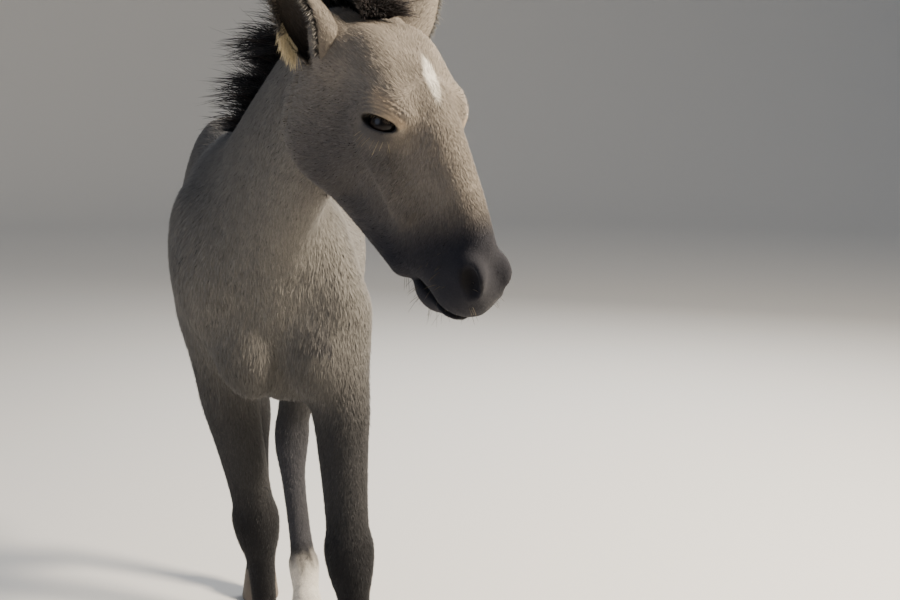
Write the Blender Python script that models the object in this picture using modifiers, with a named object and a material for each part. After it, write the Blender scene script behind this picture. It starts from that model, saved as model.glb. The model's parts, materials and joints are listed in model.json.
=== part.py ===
"""A young colt, life size, standing in mid-stride with its head turned to its left.

The flesh is modelled as clay is: tubes and lumps are blended into a grid of distances, which is
meshed, thinned and parted by narrow cuts into head, neck, torso and legs. Hooves, eyes, ears and
the locks of mane, forelock and tail are solids of their own.
Metres throughout. +Z is up, the colt faces -Y, and its left side is at +X.
"""

import math

import bmesh
import bpy
import numpy as np
import openvdb
from mathutils import Matrix, Vector

GAP = 0.0003  # left between pieces that touch
FAR = 1.0  # a distance that stands for nowhere near
BODY_STEP = 0.010  # spacing of the grid for the body
HEAD_STEP = 0.0028  # spacing of the grid for the head
BODY_LOW, BODY_HIGH = (-0.27, -0.98, 0.03), (0.36, 0.58, 1.34)

# The forehand sways to the colt's right as it steps: sideways for each metre of height
SWAY = -0.13
SWAY_LEVEL = 0.66
SWAY_FRONT_Y, SWAY_BACK_Y = -0.30, 0.25

# The head's place: its poll, how far it turns to the left, and how steeply the face drops
POLL = (0.112, -0.762, 1.222)
HEAD_TURN = math.radians(42)
FACE_DROP = math.radians(57)

# Joints of each leg: top, elbow or stifle, knee or hock, fetlock and coronet
LEFT_FORE = ((0.094, -0.36, 0.74), (0.098, -0.375, 0.62), (0.106, -0.427, 0.362),
             (0.124, -0.478, 0.135), (0.130, -0.520, 0.055))
RIGHT_FORE = ((-0.100, -0.31, 0.74), (-0.090, -0.300, 0.62), (-0.046, -0.233, 0.362),
              (-0.030, -0.180, 0.135), (-0.026, -0.215, 0.055))
LEFT_HIND = ((0.090, 0.27, 0.86), (0.100, 0.175, 0.68), (0.036, 0.218, 0.405),
             (0.053, 0.150, 0.135), (0.057, 0.110, 0.055))
RIGHT_HIND = ((-0.085, 0.33, 0.86), (-0.095, 0.240, 0.68), (-0.040, 0.435, 0.415),
              (-0.032, 0.400, 0.135), (-0.034, 0.360, 0.055))

# Outlines of each leg: how many joints down, half-width, depth in front and depth behind
FORE_OUTLINE = ((0.0, 0.052, 0.085, 0.080), (0.9, 0.052, 0.068, 0.072), (1.2, 0.050, 0.058, 0.064),
                (1.5, 0.043, 0.046, 0.050), (1.85, 0.038, 0.037, 0.038), (2.0, 0.044, 0.040, 0.038),
                (2.15, 0.040, 0.038, 0.035), (2.35, 0.028, 0.027, 0.030), (2.7, 0.024, 0.023, 0.029),
                (2.88, 0.026, 0.025, 0.031), (3.0, 0.032, 0.031, 0.034), (3.4, 0.027, 0.026, 0.027),
                (3.8, 0.032, 0.035, 0.030), (4.0, 0.034, 0.038, 0.032))
HIND_OUTLINE = ((0.0, 0.070, 0.110, 0.120), (0.6, 0.072, 0.098, 0.115), (1.0, 0.066, 0.076, 0.098),
                (1.35, 0.056, 0.060, 0.078), (1.65, 0.043, 0.045, 0.058), (1.88, 0.036, 0.035, 0.046),
                (2.0, 0.038, 0.034, 0.044), (2.15, 0.035, 0.031, 0.040), (2.35, 0.026, 0.026, 0.031),
                (2.7, 0.024, 0.024, 0.029), (2.88, 0.027, 0.026, 0.031), (3.0, 0.033, 0.031, 0.035),
                (3.4, 0.028, 0.027, 0.028), (3.8, 0.032, 0.035, 0.030), (4.0, 0.034, 0.038, 0.032))

# Eyes, in the head's frame: place, the way the left one looks and the way its slit runs, the ball,
# the lids over it, and half of the slit between them
EYE_PLACE = (0.0620, 0.0010, 0.1670)
EYE_LOOK, EYE_SLIT_WAY = (0.93, 0.34, 0.10), (-0.44, 0.52, 0.73)
EYE_RADIUS = 0.0215
LID_RADIUS = 0.0258
EYE_SLIT = (0.0082, 0.0300, 0.0190)

# The neck from its root to the poll: place, half-width, reach up to the crest and down to the throat
NECK = ((-0.040, -0.260, 0.870, 0.105, 0.140, 0.150), (-0.032, -0.380, 0.920, 0.088, 0.125, 0.132),
        (-0.002, -0.500, 0.990, 0.071, 0.112, 0.110), (0.042, -0.610, 1.070, 0.064, 0.104, 0.092),
        (0.086, -0.695, 1.140, 0.060, 0.098, 0.084))
NECK_UP = (0, -0.2, 1)

# Cuts between the pieces
HEAD_CUT = (0, -0.104, 0.041)  # a place on it, in the head's frame
HEAD_CUT_AHEAD = (0, 0.553, 0.833)  # the way it faces, in the same frame
NECK_CUT = (-0.025, -0.405, 0.955)
NECK_CUT_AHEAD = (0, -0.707, 0.707)
FORE_CUT_Z, HIND_CUT_Z = 0.572, 0.612
# Half-width and half-length of the cutters
HEAD_CUT_HALF, NECK_CUT_HALF = (0.24, 0.24), (0.20, 0.21)
LEG_CUT_HALF, HOOF_CUT_HALF = (0.085, 0.13), (0.07, 0.09)
# Thickness of the cutters that take away all that lies ahead of them
HEAD_CUT_DEPTH, HOOF_CUT_DEPTH = 0.5, 0.12

# Hooves: half-width and reach to toe and heel, at the coronet and on the ground
CORONET, SOLE = (0.0325, 0.0360, 0.0300), (0.0400, 0.0600, 0.0340)
CORONET_SLOPE = 0.30  # how much higher the coronet is in front, for each metre forward
TOES_OUT = math.radians(5)
SOLE_SHIFT = 0.012  # the sole lies further forward than the coronet

LEGS = {"left_foreleg": LEFT_FORE, "right_foreleg": RIGHT_FORE,
        "left_hind_leg": LEFT_HIND, "right_hind_leg": RIGHT_HIND}
# Roughly where the middle of each piece of the cut body lies
NODE_MIDDLES = {"torso": (0, 0.05, 0.85), "neck": (0.03, -0.57, 1.05), "left_foreleg": (0.11, -0.43, 0.33),
                "right_foreleg": (-0.05, -0.24, 0.33), "left_hind_leg": (0.05, 0.18, 0.35),
                "right_hind_leg": (-0.05, 0.38, 0.35)}
BODY_TRIANGLES, HEAD_TRIANGLES = 5200, 3300
HEAD_LOW, HEAD_HIGH = (-0.03, -1.04, 0.74), (0.36, -0.60, 1.34)

EAR_LENGTH = 0.150
EAR_THICKNESS = 0.006
EAR_ROOT = (0.061, -0.040, 0.032)  # in the head's frame, sunk in it
EAR_WAY, EAR_OPENING = (0.90, 0.46, -0.76), (0.96, 0.00, -0.12)
# Up the ear: part of its length, half-width, depth, and half of the angle that its wall goes round
EAR_OUTLINE = ((0, 0.032, 0.026, 155), (0.16, 0.038, 0.029, 138), (0.34, 0.042, 0.029, 118),
               (0.52, 0.040, 0.025, 102), (0.70, 0.032, 0.017, 92), (0.86, 0.020, 0.010, 86),
               (1, 0.005, 0.004, 80))

HOCK_POINT = np.array((0, 0.034, 0.030))  # where the point of the hock stands off its joint
LEG_FRONT = (0, -1, 0.05)  # the way the front of a leg faces
WELD = 0.00001  # edges shorter than this are closed up

# Locks: how many, their lengths, and the half-width and half-thickness of one
LOCK_ROWS = 3
LOCK_SIZE, TAIL_LOCK_SIZE = (0.010, 0.0045), (0.015, 0.006)
MANE_CORE = (0.013, 0.032, 0.012)  # its half-width, and its reach above and below the crest
MANE_SEED, MANE_LOCKS, MANE_LENGTHS = 7, 60, (0.070, 0.098)
FORELOCK_LOCKS, FORELOCK_LENGTHS = 10, (0.035, 0.052)
TAIL_LOCKS, TAIL_LENGTHS = 26, (0.130, 0.190)
CORE_TRIANGLES = {"mane": 260, "forelock": 120, "tail": 200}
GOLDEN_ANGLE = math.radians(137.5)
# The tail's dock: place, half-width and reach to the back and front
TAIL_CORE = ((0, 0.440, 0.990, 0.024, 0.024, 0.024), (0, 0.500, 0.950, 0.026, 0.026, 0.026),
             (0, 0.527, 0.870, 0.026, 0.026, 0.026), (0, 0.530, 0.780, 0.020, 0.020, 0.020))
CENTRING = (-0.0509, 0.1695, 0)  # brings the middle of the whole colt over the origin

# Materials: linear colour and roughness, for the nodes whose names hold each word
FINISHES = {"hoof": ((0.090, 0.080, 0.075), 0.55), "eye": ((0.020, 0.015, 0.012), 0.08),
            "ear": ((0.240, 0.210, 0.190), 0.90), "leg": ((0.050, 0.047, 0.050), 0.90),
            "mane": ((0.025, 0.022, 0.022), 0.75), "forelock": ((0.025, 0.022, 0.022), 0.75),
            "tail": ((0.025, 0.022, 0.022), 0.75), "head": ((0.230, 0.205, 0.190), 0.90),
            "neck": ((0.200, 0.180, 0.170), 0.90), "torso": ((0.190, 0.175, 0.170), 0.90)}


class Frame:
    """The own directions of a part of the body: its side, its up and the way it runs along."""

    def __init__(self, origin=(0, 0, 0), side=(1, 0, 0), up=(0, 1, 0), along=(0, 0, 1)):
        self.origin = np.array(origin, float)
        self.axes = np.array((side, up, along), float)

    def inward(self, points):
        return (points - self.origin) @ self.axes.T

    def outward(self, points):
        return np.asarray(points, float) @ self.axes + self.origin


class SwayingFrame(Frame):
    """The trunk's frame: symmetrical about x = 0, and then swayed to one side towards the front."""

    def shift(self, points):
        front = np.clip((SWAY_BACK_Y - points[..., 1]) / (SWAY_BACK_Y - SWAY_FRONT_Y), 0, 1)
        return SWAY * (points[..., 2] - SWAY_LEVEL) * front * front * (3 - 2 * front)

    def inward(self, points):
        own = np.array(points, float)
        own[..., 0] -= self.shift(own)
        return own

    def outward(self, points):
        world = np.array(points, float)
        world[..., 0] += self.shift(world)
        return world


def head_frame():
    """The head's side, face and long directions, from its turn and the drop of the face."""
    ahead = np.array((math.sin(HEAD_TURN), -math.cos(HEAD_TURN), 0))
    rise = np.array((0, 0, 1))
    along = math.cos(FACE_DROP) * ahead - math.sin(FACE_DROP) * rise
    up = math.sin(FACE_DROP) * ahead + math.cos(FACE_DROP) * rise
    side = np.array((math.cos(HEAD_TURN), math.sin(HEAD_TURN), 0))
    return Frame(POLL, side, up, along)


WORLD = Frame()
TRUNK = SwayingFrame()
HEAD = head_frame()


def squashed_distance(offsets, radii):
    """Distance to an ellipsoid from offsets along its own axes, true enough near its surface."""
    scaled = offsets / radii
    reach = np.sqrt((scaled ** 2).sum(-1)) + 1e-9
    slope = np.sqrt(((scaled / radii) ** 2).sum(-1)) + 1e-9
    return reach * (reach - 1) / slope


class Lump:
    """An ellipsoid: a muscle, a bone under the skin, or a hollow to be cut."""

    def __init__(self, frame, centre, radii, turn=(0, 0, 0)):
        self.frame = frame
        self.centre = np.array(centre, float)
        self.radii = np.array(radii, float)
        x, y, z = (math.radians(angle) for angle in turn)
        turned = Matrix.Rotation(z, 3, "Z") @ Matrix.Rotation(y, 3, "Y") @ Matrix.Rotation(x, 3, "X")
        self.axes = np.array(turned.transposed())
        middle = frame.outward(self.centre)
        spread = np.sqrt((((self.axes @ frame.axes) * self.radii[:, None]) ** 2).sum(0))
        self.low, self.high = middle - spread, middle + spread

    def distance(self, points):
        return squashed_distance((self.frame.inward(points) - self.centre) @ self.axes.T, self.radii)


class Tube:
    """A loft along stations, each a place, a half-width, a reach towards its up and one away."""

    def __init__(self, frame, stations, up, steps=4):
        self.frame = frame
        fine = smooth_rows(np.array(stations, float), steps)
        self.places, self.radii = fine[:, :3], np.maximum(fine[:, 3:6], 0.002)
        self.up = np.array(up, float)
        world = frame.outward(self.places)
        spread = self.radii.max(1)[:, None]
        self.lows, self.highs = world - spread, world + spread
        self.low, self.high = self.lows.min(0), self.highs.max(0)

    def pieces(self):
        for index in range(len(self.places) - 1):
            low = np.minimum(self.lows[index], self.lows[index + 1])
            high = np.maximum(self.highs[index], self.highs[index + 1])
            yield index, low, high

    def piece_distance(self, index, points):
        start, end = self.places[index], self.places[index + 1]
        run = end - start
        tangent = run / np.linalg.norm(run)
        up = self.up - self.up.dot(tangent) * tangent
        up /= np.linalg.norm(up)
        side = np.cross(tangent, up)
        offset = self.frame.inward(points) - start
        part = np.clip(offset @ run / run.dot(run), 0, 1)
        offset = offset - part[..., None] * run
        widths = self.radii[index] + part[..., None] * (self.radii[index + 1] - self.radii[index])
        rise = offset @ up
        depth = np.where(rise > 0, widths[..., 1], widths[..., 2])
        own = np.stack((offset @ side, rise, offset @ tangent), -1)
        radii = np.stack((widths[..., 0], depth, np.minimum(widths[..., 0], depth)), -1)
        return squashed_distance(own, radii)


def smooth_rows(rows, steps):
    """Rows of numbers with a Catmull-Rom curve's rows between them."""
    padded = np.vstack((2 * rows[0] - rows[1], rows, 2 * rows[-1] - rows[-2]))
    fine = []
    for before, start, end, after in zip(padded, padded[1:], padded[2:], padded[3:]):
        for step in range(steps):
            t = step / steps
            bend = 2 * before - 5 * start + 4 * end - after
            turn = 3 * start - before - 3 * end + after
            fine.append(0.5 * (2 * start + t * (end - before) + t * t * bend + t ** 3 * turn))
    fine.append(rows[-1])
    return np.array(fine)


class Clay:
    """A grid of distances to the flesh, negative inside it."""

    def __init__(self, low, high, step):
        self.low = np.array(low, float)
        self.step = step
        self.count = np.ceil((np.array(high, float) - self.low) / step).astype(int) + 1
        self.field = np.full(self.count, FAR, np.float32)

    def window(self, low, high):
        """The slices that a box covers, or None where it misses the grid."""
        first = np.maximum(np.floor((low - self.low) / self.step).astype(int), 0)
        last = np.minimum(np.ceil((high - self.low) / self.step).astype(int) + 1, self.count)
        if (last <= first).any():
            return None
        return tuple(slice(a, b) for a, b in zip(first, last))

    def points(self, window):
        lines = [self.low[axis] + self.step * np.arange(part.start, part.stop)
                 for axis, part in enumerate(window)]
        return np.stack(np.meshgrid(*lines, indexing="ij"), -1)

    def distances(self, shape, window, margin):
        if isinstance(shape, Lump):
            return shape.distance(self.points(window))
        near = np.full([part.stop - part.start for part in window], FAR)
        for index, low, high in shape.pieces():
            part = self.window(low - margin, high + margin)
            if part is None:
                continue
            inner = tuple(slice(max(p.start, w.start) - w.start, min(p.stop, w.stop) - w.start)
                          for p, w in zip(part, window))
            whole = tuple(slice(i.start + w.start, i.stop + w.start) for i, w in zip(inner, window))
            found = shape.piece_distance(index, self.points(whole))
            near[inner] = np.minimum(near[inner], found)
        return near

    def add(self, shape, blend):
        """Adds a shape to the flesh, filling the crease between them over the blend's width."""
        margin = blend + 2 * self.step
        window = self.window(shape.low - margin, shape.high + margin)
        if window is None:
            return
        here, near = self.field[window], self.distances(shape, window, margin)
        overlap = np.maximum(blend - np.abs(here - near), 0) / blend
        self.field[window] = np.minimum(here, near) - overlap * overlap * blend / 4

    def cut(self, shape, blend):
        """Takes a shape away from the flesh, with its rim rounded over the blend's width."""
        margin = blend + 2 * self.step
        window = self.window(shape.low - margin, shape.high + margin)
        if window is None:
            return
        here, near = self.field[window], -self.distances(shape, window, margin)
        overlap = np.maximum(blend - np.abs(here - near), 0) / blend
        self.field[window] = np.maximum(here, near) + overlap * overlap * blend / 4

    def mesh(self, name):
        """The surface where the distance is nothing, as a mesh of quads that face outward."""
        grid = openvdb.FloatGrid(FAR)
        grid.copyFromArray(self.field)
        points, triangles, quads = grid.convertToPolygons(isovalue=0.0, adaptivity=0.0)
        mesh = bpy.data.meshes.new(name)
        faces = [tuple(int(i) for i in face[::-1]) for face in quads]
        faces += [tuple(int(i) for i in face[::-1]) for face in triangles]
        mesh.from_pydata((points * self.step + self.low).tolist(), [], faces)
        mesh.validate()
        return mesh


def both_sides(place):
    """A place in the trunk's or the head's frame, and its mirror image."""
    x, y, z = place
    return (x, y, z), (-x, y, z)


def model_trunk(clay):
    """The barrel, chest, shoulders and quarters."""
    # Along the trunk: y, height of the widest place, half-width, reach up and reach down
    stations = ((-0.405, 0.800, 0.085, 0.100, 0.110), (-0.350, 0.800, 0.120, 0.165, 0.170),
                (-0.270, 0.795, 0.140, 0.225, 0.195), (-0.150, 0.795, 0.162, 0.222, 0.200),
                (-0.020, 0.800, 0.180, 0.212, 0.195), (0.100, 0.815, 0.184, 0.205, 0.185),
                (0.200, 0.840, 0.172, 0.200, 0.175), (0.300, 0.870, 0.150, 0.180, 0.160),
                (0.390, 0.890, 0.115, 0.135, 0.130))
    rows = [(0, y, z, half, over, under) for y, z, half, over, under in stations]
    clay.add(Tube(TRUNK, rows, (0, 0, 1)), 0.02)
    for place in both_sides((0.092, -0.355, 0.810)):  # shoulder
        clay.add(Lump(TRUNK, place, (0.060, 0.100, 0.150), (18, 0, 0)), 0.06)
    for place in both_sides((0.088, -0.422, 0.800)):  # point of the shoulder
        clay.add(Lump(TRUNK, place, (0.049, 0.046, 0.070)), 0.05)
    for place in both_sides((0.052, -0.432, 0.705)):  # breast
        clay.add(Lump(TRUNK, place, (0.055, 0.050, 0.085)), 0.022)
    clay.add(Lump(TRUNK, (0, -0.365, 0.668), (0.060, 0.075, 0.066)), 0.03)  # breastbone
    for place in both_sides((0.095, 0.325, 0.870)):  # thigh
        clay.add(Lump(TRUNK, place, (0.075, 0.140, 0.170), (-12, 0, 0)), 0.06)
    for place in both_sides((0.075, 0.405, 0.830)):  # buttock
        clay.add(Lump(TRUNK, place, (0.062, 0.075, 0.140)), 0.05)
    clay.add(Lump(TRUNK, (0, -0.240, 0.965), (0.038, 0.110, 0.066)), 0.07)  # withers


def model_neck(clay):
    """The neck, from its root between the shoulders up to the poll."""
    clay.add(Tube(WORLD, NECK, NECK_UP), 0.075)


def leg_stations(joints, outline):
    """A leg's stations: its outline laid along the curve through its joints."""
    steps = 20
    line = smooth_rows(np.array(joints, float), steps)
    stations = []
    for joint, half, front, behind in outline:
        stations.append((*line[round(joint * steps)], half, front, behind))
    return stations


def model_leg(clay, joints, outline):
    """A leg from inside the trunk to below the coronet, where its hoof will cut it off."""
    clay.add(Tube(WORLD, leg_stations(joints, outline), LEG_FRONT, steps=3), 0.05)


def model_head(clay):
    """The head: skull, jaws, cheeks, brows and muzzle. Its frame is side, up and along the face."""
    # Along the face: distance from the poll, centre's height, half-width, reach up and down
    face = ((0.010, -0.060, 0.058, 0.055, 0.060), (0.055, -0.052, 0.074, 0.080, 0.078),
            (0.110, -0.045, 0.077, 0.096, 0.084), (0.165, -0.045, 0.070, 0.096, 0.078),
            (0.230, -0.047, 0.055, 0.090, 0.065), (0.300, -0.050, 0.047, 0.080, 0.054),
            (0.350, -0.052, 0.043, 0.070, 0.046), (0.390, -0.050, 0.041, 0.056, 0.036))
    rows = [(0, up, along, half, over, under) for along, up, half, over, under in face]
    clay.add(Tube(HEAD, rows, (0, 1, 0)), 0.035)
    bridge = ((0, 0.018, 0.120, 0.036, 0.030, 0.03), (0, 0.026, 0.205, 0.028, 0.022, 0.03),
              (0, 0.015, 0.300, 0.024, 0.020, 0.03), (0, 0.004, 0.360, 0.022, 0.018, 0.03))
    clay.add(Tube(HEAD, bridge, (0, 1, 0)), 0.03)
    for place in both_sides((0.046, 0.004, 0.085)):  # temple
        clay.add(Lump(HEAD, place, (0.034, 0.040, 0.060)), 0.03)
    for place in both_sides((0.043, -0.108, 0.100)):  # cheek
        clay.add(Lump(HEAD, place, (0.030, 0.074, 0.082)), 0.03)
    for side in (1, -1):
        jaw = ((side * 0.034, -0.150, 0.105, 0.020, 0.022, 0.022),
               (side * 0.029, -0.136, 0.200, 0.016, 0.018, 0.018),
               (side * 0.020, -0.106, 0.320, 0.015, 0.016, 0.016))
        clay.add(Tube(HEAD, jaw, (0, 1, 0)), 0.04)
        crest = ((side * 0.062, -0.020, 0.150, 0.010, 0.010, 0.010),
                 (side * 0.057, -0.032, 0.215, 0.008, 0.009, 0.009),
                 (side * 0.047, -0.042, 0.275, 0.006, 0.007, 0.007))
        clay.add(Tube(HEAD, crest, (0, 1, 0)), 0.032)
    for place in both_sides((0.060, 0.010, 0.150)):  # brow and socket
        clay.add(Lump(HEAD, place, (0.026, 0.032, 0.040)), 0.03)
    for place in both_sides((0.028, -0.014, 0.392)):  # nostril's wing
        clay.add(Lump(HEAD, place, (0.020, 0.031, 0.030)), 0.02)
    clay.add(Lump(HEAD, (0, -0.047, 0.404), (0.040, 0.038, 0.029)), 0.02)  # upper lip
    clay.add(Lump(HEAD, (0, -0.094, 0.376), (0.027, 0.022, 0.034), (-20, 0, 0)), 0.012)  # lower lip and chin


def model_face(clay):
    """The openings of the face: eyes between their lids, nostrils and the line of the mouth."""
    for side in (1, -1):
        eye, look, slit = eye_frame(side)
        ball = Frame(eye, np.cross(slit, look), slit, look)
        clay.add(Lump(ball, (0, 0, 0), (LID_RADIUS, LID_RADIUS, LID_RADIUS)), 0.014)
        clay.add(Lump(ball, (side * 0.020, 0.002, 0.004), (0.010, 0.028, 0.012)), 0.014)  # brow
        clay.cut(Lump(ball, (side * -0.001, 0, 0.020), EYE_SLIT), 0.003)
        nostril = (side * 0.040, -0.002, 0.404)
        clay.cut(Lump(HEAD, nostril, (0.015, 0.0085, 0.021), (28, side * -14, 0)), 0.006)
    clay.cut(Lump(HEAD, (0, -0.073, 0.398), (0.060, 0.0045, 0.050), (-22, 0, 0)), 0.004)
    clay.add(Lump(HEAD, (0, -0.070, 0.374), (0.024, 0.026, 0.034)), 0.002)  # gums, behind the lips


def eye_frame(side):
    """An eye's middle, the way it looks and the way its slit runs, in world directions."""
    middle = HEAD.outward((side * EYE_PLACE[0], EYE_PLACE[1], EYE_PLACE[2]))
    look = np.array(EYE_LOOK) * (side, 1, 1) @ HEAD.axes
    slit = np.array(EYE_SLIT_WAY) * (side, 1, 1) @ HEAD.axes
    look /= np.linalg.norm(look)
    slit -= slit.dot(look) * look
    return middle, look, slit / np.linalg.norm(slit)


def model_legs(clay):
    """All four legs, with the hamstrings and the points of the hocks on the hind ones."""
    for joints in (LEFT_FORE, RIGHT_FORE):
        model_leg(clay, joints, FORE_OUTLINE)
    for joints in (LEFT_HIND, RIGHT_HIND):
        model_leg(clay, joints, HIND_OUTLINE)
        hip, stifle, hock = (np.array(joint) for joint in joints[:3])
        hamstring = ((*(hip + (0, 0.095, -0.06)), 0.050, 0.055, 0.055),
                     (*(hip + 0.8 * (stifle - hip) + (0, 0.110, -0.02)), 0.048, 0.055, 0.052),
                     (*(stifle + 0.45 * (hock - stifle) + (0, 0.030, 0)), 0.032, 0.040, 0.034))
        clay.add(Tube(WORLD, hamstring, LEG_FRONT), 0.06)
        hock = hock + HOCK_POINT
        clay.add(Lump(WORLD, hock, (0.017, 0.020, 0.036), (-12, 0, 0)), 0.025)


def flesh(low, high, step, parts):
    """Clay in a box with some parts of the body modelled in it."""
    clay = Clay(low, high, step)
    for part in parts:
        part(clay)
    return clay


def collection(name):
    made = bpy.data.collections.new(name)
    bpy.context.scene.collection.children.link(made)
    return made


def place_object(name, mesh, folder):
    thing = bpy.data.objects.new(name, mesh)
    folder.objects.link(thing)
    return thing


def mesh_from(name, work):
    """A mesh from a bmesh, which it frees."""
    mesh = bpy.data.meshes.new(name)
    work.to_mesh(mesh)
    work.free()
    return mesh


def face_outward(work):
    """Turns the faces of a bmesh outward, from normals that fit its moved points."""
    work.normal_update()
    bmesh.ops.recalc_face_normals(work, faces=work.faces[:])


def apply_modifiers(thing):
    """Leaves a thing with the mesh that its modifiers make."""
    evaluated = thing.evaluated_get(bpy.context.evaluated_depsgraph_get())
    mesh = bpy.data.meshes.new_from_object(evaluated)
    thing.modifiers.clear()
    old, thing.data = thing.data, mesh
    bpy.data.meshes.remove(old)


def boolean(thing, operation, other=None, others=None):
    """Cuts or joins a thing with one object or with a collection of them."""
    step = thing.modifiers.new(operation.title(), "BOOLEAN")
    step.operation = operation
    step.solver = "EXACT"
    if others:
        step.operand_type = "COLLECTION"
        step.collection = others
    else:
        step.object = other
    apply_modifiers(thing)


def islands(work):
    """The closed surfaces of a bmesh, as lists of faces."""
    found, seen = [], set()
    for face in work.faces:
        if face in seen:
            continue
        island, edge = [], [face]
        seen.add(face)
        while edge:
            here = edge.pop()
            island.append(here)
            for side in here.edges:
                for other in side.link_faces:
                    if other not in seen:
                        seen.add(other)
                        edge.append(other)
        found.append(island)
    return found


def widest_surface(mesh, weld):
    """The widest closed surface of a mesh, with edges shorter than the weld closed up."""
    work = bmesh.new()
    work.from_mesh(mesh)
    bmesh.ops.triangulate(work, faces=work.faces[:])
    if weld > 0:
        bmesh.ops.dissolve_degenerate(work, dist=weld, edges=work.edges[:])
        bmesh.ops.triangulate(work, faces=work.faces[:])
    widest = max(islands(work), key=lambda island: sum(face.calc_area() for face in island))
    kept = set(widest)
    bmesh.ops.delete(work, geom=[face for face in work.faces if face not in kept], context="FACES")
    return work


def keep_largest(thing):
    """Drops all of a thing but its widest surface, closing up short edges where that keeps it closed."""
    for weld in (WELD, WELD / 10, 0):
        work = widest_surface(thing.data, weld)
        if all(len(edge.link_faces) == 2 for edge in work.edges) or weld == 0:
            break
        work.free()
    work.to_mesh(thing.data)
    work.free()


def parted(thing, names_at, folder):
    """Splits a thing at its cuts, and names each piece by the place it holds."""
    work = bmesh.new()
    work.from_mesh(thing.data)
    bmesh.ops.triangulate(work, faces=work.faces[:])
    work.faces.index_update()
    groups = sorted(islands(work), key=len, reverse=True)
    for island in groups[:len(names_at)]:
        middle = sum((face.calc_center_median() * face.calc_area() for face in island), Vector())
        middle /= sum(face.calc_area() for face in island)
        name = min(names_at, key=lambda key: (Vector(names_at[key]) - middle).length)
        kept = {face.index for face in island}
        single = work.copy()
        others = [face for face in single.faces if face.index not in kept]
        bmesh.ops.delete(single, geom=others, context="FACES")
        piece = place_object(name, mesh_from(name, single), folder)
        keep_largest(piece)
    work.free()
    bpy.data.objects.remove(thing)


def box(name, middle, half, axes, folder):
    """A cutter: a box with its own directions."""
    work = bmesh.new()
    bmesh.ops.create_cube(work, size=2)
    for vertex in work.verts:
        reach = Vector(vertex.co[i] * half[i] for i in range(3))
        vertex.co = Vector(middle) + sum((Vector(axes[i]) * reach[i] for i in range(3)), Vector())
    face_outward(work)
    cutter = place_object(name, mesh_from(name, work), folder)
    cutter.hide_render = True
    cutter.display_type = "WIRE"
    return cutter


def thinned(thing, triangles):
    """Takes the mesh down to about so many triangles, fewest where it is flattest."""
    count = sum(len(face.vertices) - 2 for face in thing.data.polygons)
    step = thing.modifiers.new("Decimate", "DECIMATE")
    step.ratio = min(1.0, triangles / count)
    apply_modifiers(thing)


def swollen(thing, gap, folder):
    """A copy whose surface stands a gap further out."""
    copy = place_object(thing.name + "_clear", thing.data.copy(), folder)
    normals = [vertex.normal.copy() for vertex in copy.data.vertices]
    for vertex, normal in zip(copy.data.vertices, normals):
        vertex.co += normal * gap
    copy.hide_render = True
    copy.display_type = "WIRE"
    return copy


def slab(name, middle, ahead, side, half, folder, thick=GAP):
    """A thin cut, or with a greater thickness all that lies ahead of a plane.

    Half of its width runs to the side, and half of its length across that.
    """
    ahead = Vector(ahead).normalized()
    side = Vector(side)
    side = (side - side.dot(ahead) * ahead).normalized()
    middle = Vector(middle)
    if thick > GAP:
        middle = middle + ahead * (thick / 2 - GAP / 2)
    return box(name, middle, (*half, thick / 2), (side, ahead.cross(side), ahead), folder)


def build_flesh(folder, cutters):
    """The body, cut into torso, neck and legs, and the head on a finer grid."""
    coarse = flesh(BODY_LOW, BODY_HIGH, BODY_STEP, (model_trunk, model_legs, model_neck, model_head))
    body = place_object("body", coarse.mesh("body"), folder)
    thinned(body, BODY_TRIANGLES)
    fine = flesh(HEAD_LOW, HEAD_HIGH, HEAD_STEP, (model_neck, model_head, model_face))
    head = place_object("head", fine.mesh("head"), folder)
    thinned(head, HEAD_TRIANGLES)

    ahead = np.array(HEAD_CUT_AHEAD) @ HEAD.axes
    side = HEAD.axes[0]
    middle = HEAD.outward(HEAD_CUT)
    for thing, name, way in ((body, "head_side", ahead), (head, "neck_side", -ahead)):
        cutter = slab(name, middle, way, side, HEAD_CUT_HALF, cutters, thick=HEAD_CUT_DEPTH)
        boolean(thing, "DIFFERENCE", cutter)
    keep_largest(head)
    narrow = collection("narrow_cuts")
    slab("neck_cut", NECK_CUT, NECK_CUT_AHEAD, (1, 0, 0), NECK_CUT_HALF, narrow)
    for name, joints in LEGS.items():
        height = HIND_CUT_Z if "hind" in name else FORE_CUT_Z
        above, below = Vector(joints[1]), Vector(joints[2])
        part = (above.z - height) / (above.z - below.z)
        slab("leg_cut", above.lerp(below, part), (0, 0, 1), (1, 0, 0), LEG_CUT_HALF, narrow)
        coronet, ahead, side, up = hoof_frame(joints)
        slab("hoof_cut", coronet, -up, side, HOOF_CUT_HALF, narrow, thick=HOOF_CUT_DEPTH)
    boolean(body, "DIFFERENCE", others=narrow)
    parted(body, NODE_MIDDLES, folder)
    for cutter in list(narrow.objects):
        cutters.objects.link(cutter)
    bpy.data.collections.remove(narrow)
    return head


def hoof_frame(joints):
    """The middle of a coronet, and its forward, side and upward directions."""
    coronet = Vector(joints[4])
    outward = math.copysign(1, joints[0][0])
    ahead = Vector((outward * math.sin(TOES_OUT), -math.cos(TOES_OUT), 0))
    side = Vector((-ahead.y, ahead.x, 0))
    tilted = (ahead + Vector((0, 0, CORONET_SLOPE))).normalized()
    return coronet, ahead, side, tilted.cross(side)


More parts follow.
